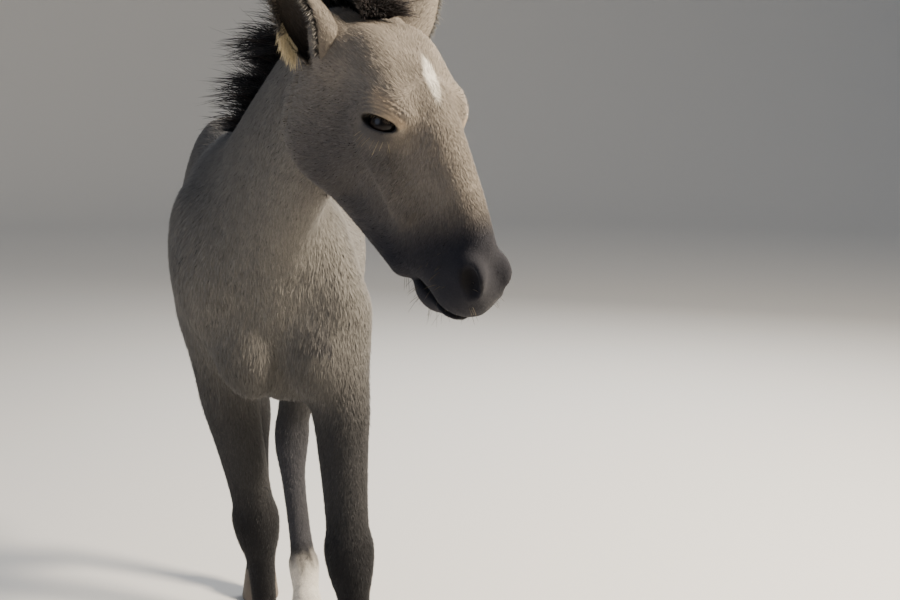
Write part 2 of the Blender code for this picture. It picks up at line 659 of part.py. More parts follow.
def build_hoof(name, joints, folder):
    """A hoof: a cone from the sloping coronet down to a flat sole, longer at the toe."""
    coronet, ahead, side, up = hoof_frame(joints)
    work = bmesh.new()
    bmesh.ops.create_cone(work, cap_ends=True, segments=22, radius1=1, radius2=1, depth=1)
    for vertex in work.verts:
        top = vertex.co.z > 0
        half, toe, heel = CORONET if top else SOLE
        reach = vertex.co.y * (toe if vertex.co.y > 0 else heel)
        place = coronet + side * vertex.co.x * half + ahead * (reach + (0 if top else SOLE_SHIFT))
        place.z = coronet.z - GAP + reach * CORONET_SLOPE if top else 0
        vertex.co = place
    face_outward(work)
    return place_object(name, mesh_from(name, work), folder)


def build_eye(side, folder, cutters, head):
    """An eyeball in its socket, which is cut a gap wider."""
    name = "left_eye" if side > 0 else "right_eye"
    middle, look, slit = eye_frame(side)
    turn = Matrix((np.cross(slit, look), slit, look)).transposed().to_4x4()
    for radius, label, where in ((EYE_RADIUS + GAP, name + "_socket", cutters), (EYE_RADIUS, name, folder)):
        work = bmesh.new()
        bmesh.ops.create_uvsphere(work, u_segments=14, v_segments=8, radius=radius)
        bmesh.ops.transform(work, matrix=Matrix.Translation(middle) @ turn, verts=work.verts[:])
        ball = place_object(label, mesh_from(label, work), where)
        if where is cutters:
            ball.hide_render = True
            ball.display_type = "WIRE"
            boolean(head, "DIFFERENCE", ball)
    return ball


def ear_surface(side, rows, columns):
    """The middle of the ear's wall, as rows of places from the root to the tip."""
    way = np.array(EAR_WAY) * (side, 1, 1)
    way /= np.linalg.norm(way)
    opening = np.array(EAR_OPENING) * (side, 1, 1)
    opening -= opening.dot(way) * way
    opening /= np.linalg.norm(opening)
    broad = np.cross(way, opening)
    outline = smooth_rows(np.array(EAR_OUTLINE, float), 4)
    surface = []
    for row in range(rows):
        part = row / (rows - 1)
        half, depth, angle = (np.interp(part, outline[:, 0], outline[:, i]) for i in (1, 2, 3))
        middle = np.array(EAR_ROOT) * (side, 1, 1) + way * EAR_LENGTH * part
        middle += np.array((-side * 0.012, 0.006, 0)) * part * part
        ring = []
        for column in range(columns):
            turn = math.radians(angle) * (2 * column / (columns - 1) - 1)
            ring.append(middle + broad * half * math.sin(turn) - opening * depth * math.cos(turn))
        surface.append(HEAD.outward(np.array(ring)))
    return np.array(surface)


def build_ear(side, folder):
    """An ear: a shell that is rolled up at its root and opens towards its tip."""
    name = "left_ear" if side > 0 else "right_ear"
    rows, columns = 8, 9
    surface = ear_surface(side, rows, columns)
    faces = []
    for row in range(rows - 1):
        for column in range(columns - 1):
            first = row * columns + column
            faces.append((first, first + 1, first + columns + 1, first + columns))
    mesh = bpy.data.meshes.new(name)
    mesh.from_pydata(surface.reshape(-1, 3).tolist(), [], faces)
    ear = place_object(name, mesh, folder)
    shell = ear.modifiers.new("Solidify", "SOLIDIFY")
    shell.thickness = EAR_THICKNESS
    shell.offset = 0
    apply_modifiers(ear)
    work = bmesh.new()
    work.from_mesh(ear.data)
    face_outward(work)
    work.to_mesh(ear.data)
    work.free()
    return ear


def clear_of(thing, others, cutters):
    """Cuts a thing a gap clear of the pieces that it grows from."""
    for other in others:
        boolean(thing, "DIFFERENCE", swollen(other, 1.5 * GAP, cutters))
    keep_largest(thing)


def crest_line(count):
    """Places along the crest from the withers to the poll, with the way up from each."""
    stations = smooth_rows(np.array(NECK, float), 8)
    crest = []
    for here, after in zip(stations, stations[1:]):
        run = (after - here)[:3]
        run /= np.linalg.norm(run)
        up = np.array(NECK_UP, float)
        up -= up.dot(run) * run
        up /= np.linalg.norm(up)
        crest.append(np.concatenate((here[:3] + up * here[4], up)))
    withers = TRUNK.outward(np.array((0, -0.255, 1.045)))
    poll = HEAD.outward(np.array((0, 0.020, 0.000)))
    rise = np.array((0, 0.3, 1)) / np.linalg.norm((0, 0.3, 1))
    crest = [np.concatenate((withers, rise))] + crest[5:-3] + [np.concatenate((poll, rise))]
    crest = np.array(crest)
    steps = np.linalg.norm(np.diff(crest[:, :3], axis=0), axis=1)
    lengths = np.concatenate(([0], np.cumsum(steps)))
    at = np.linspace(0, lengths[-1], count)
    return np.column_stack([np.interp(at, lengths, column) for column in crest.T])


def plain_tube(name, stations, up, folder, step=0.008):
    """One smooth form along stations, as closed clay of its own."""
    tube = Tube(WORLD, stations, up)
    clay = Clay(tube.low - 3 * step, tube.high + 3 * step, step)
    clay.add(tube, 0.001)
    return place_object(name, clay.mesh(name), folder)


def lock(name, root, way, bend, face, size, folder):
    """A flat tapered lock that bends: its size is length, half-width and half-thickness."""
    length, half, thick = size
    work = bmesh.new()
    rings = []
    for row in range(LOCK_ROWS):
        part = row / LOCK_ROWS
        run = Vector(way + 2 * part * bend).normalized()
        across = run.cross(Vector(face)).normalized()
        flat = across.cross(run)
        middle = Vector(root + length * (part * way + part * part * bend))
        width = half * (0.7 + 1.2 * part - 1.4 * part * part)
        depth = thick * (1 - 0.5 * part)
        corners = (across * width, flat * depth, across * -width, flat * -depth)
        rings.append([work.verts.new(middle + corner) for corner in corners])
    tip = work.verts.new(Vector(root + length * (way + bend)))
    work.faces.new(rings[0])
    for lower, upper in zip(rings, rings[1:]):
        for index in range(4):
            after = (index + 1) % 4
            work.faces.new((lower[index], lower[after], upper[after], upper[index]))
    for index in range(4):
        work.faces.new((rings[-1][index], rings[-1][(index + 1) % 4], tip))
    face_outward(work)
    return place_object(name, mesh_from(name, work), folder)


def fused(core, locks):
    """Joins a core and a collection of locks into one closed surface, and drops the locks."""
    boolean(core, "UNION", others=locks)
    keep_largest(core)
    for thing in list(locks.objects):
        bpy.data.objects.remove(thing)
    bpy.data.collections.remove(locks)
    return core


def unit(vector):
    return vector / np.linalg.norm(vector)


def build_mane(folder):
    """The mane: locks that stand up from the crest, lean back and fall a little to the colt's right."""
    chance = np.random.default_rng(MANE_SEED)
    crest = crest_line(MANE_LOCKS)
    rows = [(*row[:3], *MANE_CORE) for row in crest_line(9)]
    mane = plain_tube("mane", rows, (0, 0, 1), folder)
    thinned(mane, CORE_TRIANGLES["mane"])
    locks = collection("locks")
    for index, row in enumerate(crest[1:-1]):
        place, up = row[:3], row[3:]
        run = unit(crest[index + 2][:3] - crest[index][:3])
        right = unit(np.cross(run, up))
        lean = chance.uniform(-0.50, 0.75)
        way = unit(up + lean * right - chance.uniform(0.15, 0.55) * run)
        bend = 0.35 * lean * right - 0.22 * up - 0.15 * run
        root = place - 0.006 * up + 0.006 * lean * right
        length = chance.uniform(*MANE_LENGTHS) * (0.72 + 0.28 * math.sin(math.pi * index / MANE_LOCKS))
        face = right + 0.4 * chance.uniform(-1, 1) * run
        lock("mane_lock", root, way, bend, face, (length, *LOCK_SIZE), locks)
    return fused(mane, locks)


def build_forelock(folder):
    """The forelock: a short tuft between the ears, falling a little forward."""
    chance = np.random.default_rng(MANE_SEED + 1)
    rows = [(*HEAD.outward(np.array((0, up, along))), 0.017, half, half)
            for up, along, half in ((0.010, -0.004, 0.012), (0.021, 0.007, 0.012), (0.027, 0.018, 0.009))]
    forelock = plain_tube("forelock", rows, HEAD.axes[1], folder, 0.005)
    thinned(forelock, CORE_TRIANGLES["forelock"])
    locks = collection("locks")
    for index in range(FORELOCK_LOCKS):
        side = 2 * (index + 0.5) / FORELOCK_LOCKS - 1
        own_root = np.array((0.024 * side, 0.017, 0.004 + 0.008 * chance.uniform(-1, 1)))
        own_way = unit(np.array((0.60 * side, 1, chance.uniform(-0.4, 0.2))))
        own_bend = np.array((0.25 * side, -0.30, 0.18))
        size = (chance.uniform(*FORELOCK_LENGTHS), *LOCK_SIZE)
        lock("forelock_lock", HEAD.outward(own_root), own_way @ HEAD.axes, own_bend @ HEAD.axes,
             HEAD.axes[2], size, locks)
    return fused(forelock, locks)


def build_tail(folder):
    """The tail: a short dock under locks that fall around it and part at their tips."""
    chance = np.random.default_rng(MANE_SEED + 2)
    path = smooth_rows(np.array(TAIL_CORE, float), 8)
    tail = plain_tube("tail", TAIL_CORE, (0, 1, 0), folder)
    thinned(tail, CORE_TRIANGLES["tail"])
    locks = collection("locks")
    for index in range(TAIL_LOCKS):
        part = (index + 0.5) / TAIL_LOCKS
        at = part * (len(path) - 2)
        row = path[int(at)]
        run = unit(path[int(at) + 1][:3] - row[:3])
        around = index * GOLDEN_ANGLE
        outward = unit(np.array((math.sin(around), 0.9 * math.cos(around), 0.1)))
        root = row[:3] + 0.6 * row[3] * outward
        way = unit(run + np.array((0, 0, -0.25)) + 0.16 * outward)
        bend = np.array((0, 0, -0.40)) - 0.10 * outward
        size = (chance.uniform(*TAIL_LENGTHS), *TAIL_LOCK_SIZE)
        lock("tail_lock", root, way, bend, outward, size, locks)
    return fused(tail, locks)


def paint(thing):
    """Gives a node a material of its own."""
    colour, roughness = next(finish for word, finish in FINISHES.items() if word in thing.name)
    material = bpy.data.materials.new(thing.name)
    material.use_nodes = True
    shader = material.node_tree.nodes["Principled BSDF"]
    shader.inputs["Base Color"].default_value = (*colour, 1)
    shader.inputs["Roughness"].default_value = roughness
    shader.inputs["Metallic"].default_value = 0
    thing.data.materials.clear()
    thing.data.materials.append(material)


def build_colt():
    """All nodes of the colt, each cleared of the pieces that it grows from."""
    folder = collection("colt")
    cutters = collection("cutters")
    nodes = folder.objects
    head = build_flesh(folder, cutters)
    for side in (1, -1):
        build_eye(side, folder, cutters, head)
    keep_largest(head)
    for name, joints in LEGS.items():
        build_hoof(name + "_hoof", joints, folder)
    ears = [build_ear(side, folder) for side in (1, -1)]
    for ear in ears:
        clear_of(ear, [head, nodes["neck"]], cutters)
    mane = build_mane(folder)
    clear_of(mane, [nodes["neck"], nodes["torso"], head] + ears, cutters)
    clear_of(build_tail(folder), [nodes["torso"]], cutters)
    clear_of(build_forelock(folder), [head, mane, nodes["neck"]] + ears, cutters)
    for node in nodes:
        node.data.transform(Matrix.Translation(CENTRING))
        paint(node)


for old in list(bpy.data.objects):
    bpy.data.objects.remove(old)
build_colt()
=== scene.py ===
# %% [markdown]
# # A mouse-grey colt
# A still, life-size colt in mid-stride, with its head turned to its left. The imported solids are
# loaded first as the frame. One skin takes the place of the solids of flesh, and coat, mane,
# forelock, tail, eyes, ears and hooves are then made over it.

# %%
import json
import math
import time

import bmesh
import bpy
import numpy as np
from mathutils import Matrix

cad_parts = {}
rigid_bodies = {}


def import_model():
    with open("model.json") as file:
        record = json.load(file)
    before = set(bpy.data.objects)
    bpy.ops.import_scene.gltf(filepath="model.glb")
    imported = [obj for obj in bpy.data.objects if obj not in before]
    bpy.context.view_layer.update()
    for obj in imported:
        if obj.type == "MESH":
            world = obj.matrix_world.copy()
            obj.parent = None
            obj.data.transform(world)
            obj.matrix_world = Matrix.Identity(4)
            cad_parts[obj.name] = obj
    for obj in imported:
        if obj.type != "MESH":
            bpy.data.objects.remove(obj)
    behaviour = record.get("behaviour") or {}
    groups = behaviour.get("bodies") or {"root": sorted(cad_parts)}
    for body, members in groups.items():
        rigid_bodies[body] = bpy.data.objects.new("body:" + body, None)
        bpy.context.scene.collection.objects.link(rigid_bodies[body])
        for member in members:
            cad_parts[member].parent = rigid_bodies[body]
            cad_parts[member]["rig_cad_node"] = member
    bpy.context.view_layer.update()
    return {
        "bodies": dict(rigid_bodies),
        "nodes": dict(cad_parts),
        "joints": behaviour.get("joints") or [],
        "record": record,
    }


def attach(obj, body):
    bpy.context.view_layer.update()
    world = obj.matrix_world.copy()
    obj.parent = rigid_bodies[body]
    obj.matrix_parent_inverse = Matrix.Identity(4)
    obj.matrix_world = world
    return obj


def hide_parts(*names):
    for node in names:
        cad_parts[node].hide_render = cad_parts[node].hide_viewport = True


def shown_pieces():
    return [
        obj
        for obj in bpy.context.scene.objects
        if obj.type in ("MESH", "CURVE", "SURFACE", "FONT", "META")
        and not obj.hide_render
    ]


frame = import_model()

import openvdb
from mathutils import Matrix, Vector, kdtree

started = time.time()

# %% [markdown]
# ## Sizes
# Metres throughout. +Z is up, the colt faces -Y and its left side is at +X. The body's sizes are
# those of the solids. CENTRING moves everything from the body's own places to the frame's.

# %%
FAR = 1.0  # a distance that stands for nowhere near
BODY_LOW, BODY_HIGH = (-0.27, -0.98, 0.03), (0.36, 0.58, 1.34)

# The forehand sways to the colt's right as it steps: sideways for each metre of height
SWAY = -0.13
SWAY_LEVEL = 0.66
SWAY_FRONT_Y, SWAY_BACK_Y = -0.30, 0.25

# The head's place: its poll, how far it turns to the left, and how steeply the face drops
POLL = (0.112, -0.762, 1.222)
HEAD_TURN = math.radians(42)
FACE_DROP = math.radians(57)

# Joints of each leg: top, elbow or stifle, knee or hock, fetlock and coronet
LEFT_FORE = ((0.094, -0.36, 0.74), (0.098, -0.375, 0.62), (0.106, -0.427, 0.362),
             (0.124, -0.478, 0.135), (0.130, -0.520, 0.055))
RIGHT_FORE = ((-0.100, -0.31, 0.74), (-0.090, -0.300, 0.62), (-0.046, -0.233, 0.362),
              (-0.030, -0.180, 0.135), (-0.026, -0.215, 0.055))
LEFT_HIND = ((0.090, 0.27, 0.86), (0.100, 0.175, 0.68), (0.036, 0.218, 0.405),
             (0.053, 0.150, 0.135), (0.057, 0.110, 0.055))
RIGHT_HIND = ((-0.085, 0.33, 0.86), (-0.095, 0.240, 0.68), (-0.040, 0.435, 0.415),
              (-0.032, 0.400, 0.135), (-0.034, 0.360, 0.055))

# Outlines of each leg: how many joints down, half-width, depth in front and depth behind
FORE_OUTLINE = ((0.0, 0.052, 0.085, 0.080), (0.9, 0.052, 0.068, 0.072), (1.2, 0.050, 0.058, 0.064),
                (1.5, 0.043, 0.046, 0.050), (1.85, 0.038, 0.037, 0.038), (2.0, 0.044, 0.040, 0.038),
                (2.15, 0.040, 0.038, 0.035), (2.35, 0.028, 0.027, 0.030), (2.7, 0.024, 0.023, 0.029),
                (2.88, 0.026, 0.025, 0.031), (3.0, 0.032, 0.031, 0.034), (3.4, 0.027, 0.026, 0.027),
                (3.8, 0.032, 0.035, 0.030), (4.0, 0.034, 0.038, 0.032))
HIND_OUTLINE = ((0.0, 0.070, 0.110, 0.120), (0.6, 0.072, 0.098, 0.115), (1.0, 0.066, 0.076, 0.098),
                (1.35, 0.056, 0.060, 0.078), (1.65, 0.043, 0.045, 0.058), (1.88, 0.036, 0.035, 0.046),
                (2.0, 0.038, 0.034, 0.044), (2.15, 0.035, 0.031, 0.040), (2.35, 0.026, 0.026, 0.031),
                (2.7, 0.024, 0.024, 0.029), (2.88, 0.027, 0.026, 0.031), (3.0, 0.033, 0.031, 0.035),
                (3.4, 0.028, 0.027, 0.028), (3.8, 0.032, 0.035, 0.030), (4.0, 0.034, 0.038, 0.032))

# Eyes, in the head's frame: place, the way the left one looks and the way its slit runs, the ball,
# the lids over it, and half of the slit between them
EYE_PLACE = (0.0620, 0.0010, 0.1670)
EYE_LOOK, EYE_SLIT_WAY = (0.93, 0.34, 0.10), (-0.44, 0.52, 0.73)
EYE_RADIUS = 0.0215
LID_RADIUS = 0.0258
EYE_SLIT = (0.0080, 0.0232, 0.0190)  # shorter than the solids' cut, for the lids are finer
NOSTRIL = (0.040, -0.002, 0.404)  # the left one's middle, in the head's frame

# The neck from its root to the poll: place, half-width, reach up to the crest and down to the throat
NECK = ((-0.040, -0.260, 0.870, 0.105, 0.140, 0.150), (-0.032, -0.380, 0.920, 0.088, 0.125, 0.132),
        (-0.002, -0.500, 0.990, 0.071, 0.112, 0.110), (0.042, -0.610, 1.070, 0.064, 0.104, 0.092),
        (0.086, -0.695, 1.140, 0.060, 0.098, 0.084))
NECK_UP = (0, -0.2, 1)

# Planes between head and neck, in the head's frame, and between neck and trunk: a place on each
# and the way it faces
HEAD_CUT = (0, -0.104, 0.041)
HEAD_CUT_AHEAD = (0, 0.553, 0.833)
NECK_CUT = (-0.025, -0.405, 0.955)
NECK_CUT_AHEAD = (0, -0.707, 0.707)
LEG_COAT_TOP = 0.572  # the coat below this height is that of the legs

# Hooves: half-width and reach to toe and heel, at the coronet and on the ground
CORONET, SOLE = (0.0325, 0.0360, 0.0300), (0.0400, 0.0600, 0.0340)
CORONET_SLOPE = 0.30  # how much higher the coronet is in front, for each metre forward
TOES_OUT = math.radians(5)
SOLE_SHIFT = 0.012  # the sole lies further forward than the coronet

LEGS = {"left_foreleg": LEFT_FORE, "right_foreleg": RIGHT_FORE,
        "left_hind_leg": LEFT_HIND, "right_hind_leg": RIGHT_HIND}
HEAD_LOW, HEAD_HIGH = (-0.03, -1.04, 0.74), (0.36, -0.60, 1.34)

EAR_LENGTH = 0.150
EAR_ROOT = (0.061, -0.040, 0.032)  # in the head's frame, sunk in it
EAR_WAY, EAR_OPENING = (0.90, 0.46, -0.76), (0.96, 0.00, -0.12)
# Up the ear: part of its length, half-width, depth, and half of the angle that its wall goes round
EAR_OUTLINE = ((0, 0.032, 0.026, 155), (0.16, 0.038, 0.029, 138), (0.34, 0.042, 0.029, 118),
               (0.52, 0.040, 0.025, 102), (0.70, 0.032, 0.017, 92), (0.86, 0.020, 0.010, 86),
               (1, 0.005, 0.004, 80))

HOCK_POINT = np.array((0, 0.034, 0.030))  # where the point of the hock stands off its joint
LEG_FRONT = (0, -1, 0.05)  # the way the front of a leg faces

# The tail's dock: place, half-width and reach to the back and front
TAIL_CORE = ((0, 0.440, 0.990, 0.024, 0.024, 0.024), (0, 0.500, 0.950, 0.026, 0.026, 0.026),
             (0, 0.527, 0.870, 0.026, 0.026, 0.026), (0, 0.530, 0.780, 0.020, 0.020, 0.020))
CENTRING = (-0.0509, 0.1695, 0)  # brings the middle of the whole colt over the origin

# Grids of the skin, and how far the skin lies inside the coat's outline on body, face and feet
BODY_STEP, HEAD_STEP = 0.0065, 0.0025
BODY_DEPTH, FACE_DEPTH, FOOT_DEPTH = 0.0034, 0.0014, 0.0020
SEAM_OVERLAP = 0.004
SKIN_SHARE = 0.5  # how much of the grids' faces the skin keeps

# Tufts of the coat by region: how many, length, half-width and how steeply they rise
COATS = {"coat_head_left": (62000, 0.0084, 0.0009, 0.34), "coat_head_right": (62000, 0.0084, 0.0009, 0.34),
         "coat_neck": (64000, 0.0115, 0.0011, 0.34), "coat_torso_left": (66000, 0.0150, 0.0016, 0.34),
         "coat_torso_right": (66000, 0.0150, 0.0016, 0.34), "coat_forelegs": (56000, 0.0090, 0.0010, 0.34),
         "coat_hind_legs": (56000, 0.0095, 0.0010, 0.34)}
PATCH = 0.003  # how wide each tuft's patch is in the OFBake map
TUFT_FLATNESS = 0.30  # a tuft's thickness for its half-width

# What stands out on the side of the head: its height, half its width, and where it runs up and along
RELIEF = ((0.0018, 0.014, ((-0.036, 0.150), (-0.044, 0.200), (-0.050, 0.265))),
          (-0.0018, 0.024, ((0.002, 0.215), (-0.006, 0.300))),
          (-0.0012, 0.012, ((-0.055, 0.215), (-0.100, 0.222), (-0.140, 0.195))),
          (0.0010, 0.0045, ((-0.012, 0.200), (-0.026, 0.240), (-0.060, 0.262), (-0.100, 0.258))),
          (-0.0028, 0.020, ((0.030, 0.118), (0.036, 0.130))))

# Folds over the upper lid: where the first lies, how far apart they are, and their height
FOLD_START, FOLD_SPACING, FOLD_HEIGHT = 0.0165, 0.0050, 0.0009
print("sizes set: skin at", BODY_STEP * 1000, "and", HEAD_STEP * 1000, "mm")

# %% [markdown]
# ## Clay
# The body is modelled as the solids are: tubes and lumps are blended into a grid of distances,
# which is meshed where the distance is nothing.

# %%
class Frame:
    """The own directions of a part of the body: its side, its up and the way it runs along."""

    def __init__(self, origin=(0, 0, 0), side=(1, 0, 0), up=(0, 1, 0), along=(0, 0, 1)):
        self.origin = np.array(origin, float)
        self.axes = np.array((side, up, along), float)

    def inward(self, points):
        return (points - self.origin) @ self.axes.T

    def outward(self, points):
        return np.asarray(points, float) @ self.axes + self.origin


class SwayingFrame(Frame):
    """The trunk's frame: symmetrical about x = 0, and then swayed to one side towards the front."""

    def shift(self, points):
        front = np.clip((SWAY_BACK_Y - points[..., 1]) / (SWAY_BACK_Y - SWAY_FRONT_Y), 0, 1)
        return SWAY * (points[..., 2] - SWAY_LEVEL) * front * front * (3 - 2 * front)

    def inward(self, points):
        own = np.array(points, float)
        own[..., 0] -= self.shift(own)
        return own

    def outward(self, points):
        world = np.array(points, float)
        world[..., 0] += self.shift(world)
        return world


def head_frame():
    """The head's side, face and long directions, from its turn and the drop of the face."""
    ahead = np.array((math.sin(HEAD_TURN), -math.cos(HEAD_TURN), 0))
    rise = np.array((0, 0, 1))
    along = math.cos(FACE_DROP) * ahead - math.sin(FACE_DROP) * rise
    up = math.sin(FACE_DROP) * ahead + math.cos(FACE_DROP) * rise
    side = np.array((math.cos(HEAD_TURN), math.sin(HEAD_TURN), 0))
    return Frame(POLL, side, up, along)


WORLD = Frame()
TRUNK = SwayingFrame()
HEAD = head_frame()


def squashed_distance(offsets, radii):
    """Distance to an ellipsoid from offsets along its own axes, true enough near its surface."""
    scaled = offsets / radii
    reach = np.sqrt((scaled ** 2).sum(-1)) + 1e-9
    slope = np.sqrt(((scaled / radii) ** 2).sum(-1)) + 1e-9
    return reach * (reach - 1) / slope


class Lump:
    """An ellipsoid: a muscle, a bone under the skin, or a hollow to be cut."""

    def __init__(self, frame, centre, radii, turn=(0, 0, 0)):
        self.frame = frame
        self.centre = np.array(centre, float)
        self.radii = np.array(radii, float)
        x, y, z = (math.radians(angle) for angle in turn)
        turned = Matrix.Rotation(z, 3, "Z") @ Matrix.Rotation(y, 3, "Y") @ Matrix.Rotation(x, 3, "X")
        self.axes = np.array(turned.transposed())
        middle = frame.outward(self.centre)
        spread = np.sqrt((((self.axes @ frame.axes) * self.radii[:, None]) ** 2).sum(0))
        self.low, self.high = middle - spread, middle + spread

    def distance(self, points):
        return squashed_distance((self.frame.inward(points) - self.centre) @ self.axes.T, self.radii)


class Tube:
    """A loft along stations, each a place, a half-width, a reach towards its up and one away."""

    def __init__(self, frame, stations, up, steps=4):
        self.frame = frame
        fine = smooth_rows(np.array(stations, float), steps)
        self.places, self.radii = fine[:, :3], np.maximum(fine[:, 3:6], 0.002)
        self.up = np.array(up, float)
        world = frame.outward(self.places)
        spread = self.radii.max(1)[:, None]
        self.lows, self.highs = world - spread, world + spread
        self.low, self.high = self.lows.min(0), self.highs.max(0)

    def pieces(self):
        for index in range(len(self.places) - 1):
            low = np.minimum(self.lows[index], self.lows[index + 1])
            high = np.maximum(self.highs[index], self.highs[index + 1])
            yield index, low, high

    def piece_distance(self, index, points):
        start, end = self.places[index], self.places[index + 1]
        run = end - start
        tangent = run / np.linalg.norm(run)
        up = self.up - self.up.dot(tangent) * tangent
        up /= np.linalg.norm(up)
        side = np.cross(tangent, up)
        offset = self.frame.inward(points) - start
        part = np.clip(offset @ run / run.dot(run), 0, 1)
        offset = offset - part[..., None] * run
        widths = self.radii[index] + part[..., None] * (self.radii[index + 1] - self.radii[index])
        rise = offset @ up
        depth = np.where(rise > 0, widths[..., 1], widths[..., 2])
        own = np.stack((offset @ side, rise, offset @ tangent), -1)
        radii = np.stack((widths[..., 0], depth, np.minimum(widths[..., 0], depth)), -1)
        return squashed_distance(own, radii)


def smooth_rows(rows, steps):
    """Rows of numbers with a Catmull-Rom curve's rows between them."""
    padded = np.vstack((2 * rows[0] - rows[1], rows, 2 * rows[-1] - rows[-2]))
    fine = []
    for before, start, end, after in zip(padded, padded[1:], padded[2:], padded[3:]):
        for step in range(steps):
            t = step / steps
            bend = 2 * before - 5 * start + 4 * end - after
            turn = 3 * start - before - 3 * end + after
            fine.append(0.5 * (2 * start + t * (end - before) + t * t * bend + t ** 3 * turn))
    fine.append(rows[-1])
    return np.array(fine)


class Clay:
    """A grid of distances to the flesh, negative inside it."""

    def __init__(self, low, high, step):
        self.low = np.array(low, float)
        self.step = step
        self.count = np.ceil((np.array(high, float) - self.low) / step).astype(int) + 1
        self.field = np.full(self.count, FAR, np.float32)

    def window(self, low, high):
        """The slices that a box covers, or None where it misses the grid."""
        first = np.maximum(np.floor((low - self.low) / self.step).astype(int), 0)
        last = np.minimum(np.ceil((high - self.low) / self.step).astype(int) + 1, self.count)
        if (last <= first).any():
            return None
        return tuple(slice(a, b) for a, b in zip(first, last))

    def points(self, window):
        lines = [self.low[axis] + self.step * np.arange(part.start, part.stop)
                 for axis, part in enumerate(window)]
        return np.stack(np.meshgrid(*lines, indexing="ij"), -1)

    def distances(self, shape, window, margin):
        if isinstance(shape, Lump):
            return shape.distance(self.points(window))
        near = np.full([part.stop - part.start for part in window], FAR)
        for index, low, high in shape.pieces():
            part = self.window(low - margin, high + margin)
            if part is None:
                continue
            inner = tuple(slice(max(p.start, w.start) - w.start, min(p.stop, w.stop) - w.start)
                          for p, w in zip(part, window))
            whole = tuple(slice(i.start + w.start, i.stop + w.start) for i, w in zip(inner, window))
            found = shape.piece_distance(index, self.points(whole))
            near[inner] = np.minimum(near[inner], found)
        return near

    def add(self, shape, blend):
        """Adds a shape to the flesh, filling the crease between them over the blend's width."""
        margin = blend + 2 * self.step
        window = self.window(shape.low - margin, shape.high + margin)
        if window is None:
            return
        here, near = self.field[window], self.distances(shape, window, margin)
        overlap = np.maximum(blend - np.abs(here - near), 0) / blend
        self.field[window] = np.minimum(here, near) - overlap * overlap * blend / 4

    def cut(self, shape, blend):
        """Takes a shape away from the flesh, with its rim rounded over the blend's width."""
        margin = blend + 2 * self.step
        window = self.window(shape.low - margin, shape.high + margin)
        if window is None:
            return
        here, near = self.field[window], -self.distances(shape, window, margin)
        overlap = np.maximum(blend - np.abs(here - near), 0) / blend
        self.field[window] = np.maximum(here, near) + overlap * overlap * blend / 4

    def mesh(self, name):
        """The surface where the distance is nothing, as a mesh whose faces still look inward."""
        grid = openvdb.FloatGrid(FAR)
        grid.copyFromArray(self.field)
        points, triangles, quads = grid.convertToPolygons(isovalue=0.0, adaptivity=0.0)
        mesh = bpy.data.meshes.new(name)
        faces = [tuple(int(i) for i in face[::-1]) for face in quads]
        faces += [tuple(int(i) for i in face[::-1]) for face in triangles]
        mesh.from_pydata((points * self.step + self.low).tolist(), [], faces)
        mesh.validate()
        return mesh

print("clay ready")

# %% [markdown]
# ## The forms of the body
# Trunk, neck, legs and head, with the openings of the face.

# %%
def both_sides(place):
    """A place in the trunk's or the head's frame, and its mirror image."""
    x, y, z = place
    return (x, y, z), (-x, y, z)


def model_trunk(clay):
    """The barrel, chest, shoulders and quarters."""
    # Along the trunk: y, height of the widest place, half-width, reach up and reach down
    stations = ((-0.405, 0.800, 0.085, 0.100, 0.110), (-0.350, 0.800, 0.120, 0.165, 0.170),
                (-0.270, 0.795, 0.140, 0.225, 0.195), (-0.150, 0.795, 0.162, 0.222, 0.200),
                (-0.020, 0.800, 0.180, 0.212, 0.195), (0.100, 0.815, 0.184, 0.205, 0.185),
                (0.200, 0.840, 0.172, 0.200, 0.175), (0.300, 0.870, 0.150, 0.180, 0.160),
                (0.390, 0.890, 0.115, 0.135, 0.130))
    rows = [(0, y, z, half, over, under) for y, z, half, over, under in stations]
    clay.add(Tube(TRUNK, rows, (0, 0, 1)), 0.02)
    for place in both_sides((0.092, -0.355, 0.810)):  # shoulder
        clay.add(Lump(TRUNK, place, (0.060, 0.100, 0.150), (18, 0, 0)), 0.06)
    for place in both_sides((0.088, -0.422, 0.800)):  # point of the shoulder
        clay.add(Lump(TRUNK, place, (0.049, 0.046, 0.070)), 0.05)
    for place in both_sides((0.052, -0.432, 0.705)):  # breast
        clay.add(Lump(TRUNK, place, (0.055, 0.050, 0.085)), 0.022)
    clay.add(Lump(TRUNK, (0, -0.365, 0.668), (0.060, 0.075, 0.066)), 0.03)  # breastbone
    for place in both_sides((0.095, 0.325, 0.870)):  # thigh
        clay.add(Lump(TRUNK, place, (0.075, 0.140, 0.170), (-12, 0, 0)), 0.06)
    for place in both_sides((0.075, 0.405, 0.830)):  # buttock
        clay.add(Lump(TRUNK, place, (0.062, 0.075, 0.140)), 0.05)
    clay.add(Lump(TRUNK, (0, -0.240, 0.965), (0.038, 0.110, 0.066)), 0.07)  # withers


def model_neck(clay):
    """The neck, from its root between the shoulders up to the poll."""
    clay.add(Tube(WORLD, NECK, NECK_UP), 0.075)


def leg_stations(joints, outline):
    """A leg's stations: its outline laid along the curve through its joints."""
    steps = 20
    line = smooth_rows(np.array(joints, float), steps)
    stations = []
    for joint, half, front, behind in outline:
        stations.append((*line[round(joint * steps)], half, front, behind))
    return stations


def model_leg(clay, joints, outline):
    """A leg from inside the trunk to below the coronet, where its hoof will cut it off."""
    clay.add(Tube(WORLD, leg_stations(joints, outline), LEG_FRONT, steps=3), 0.05)


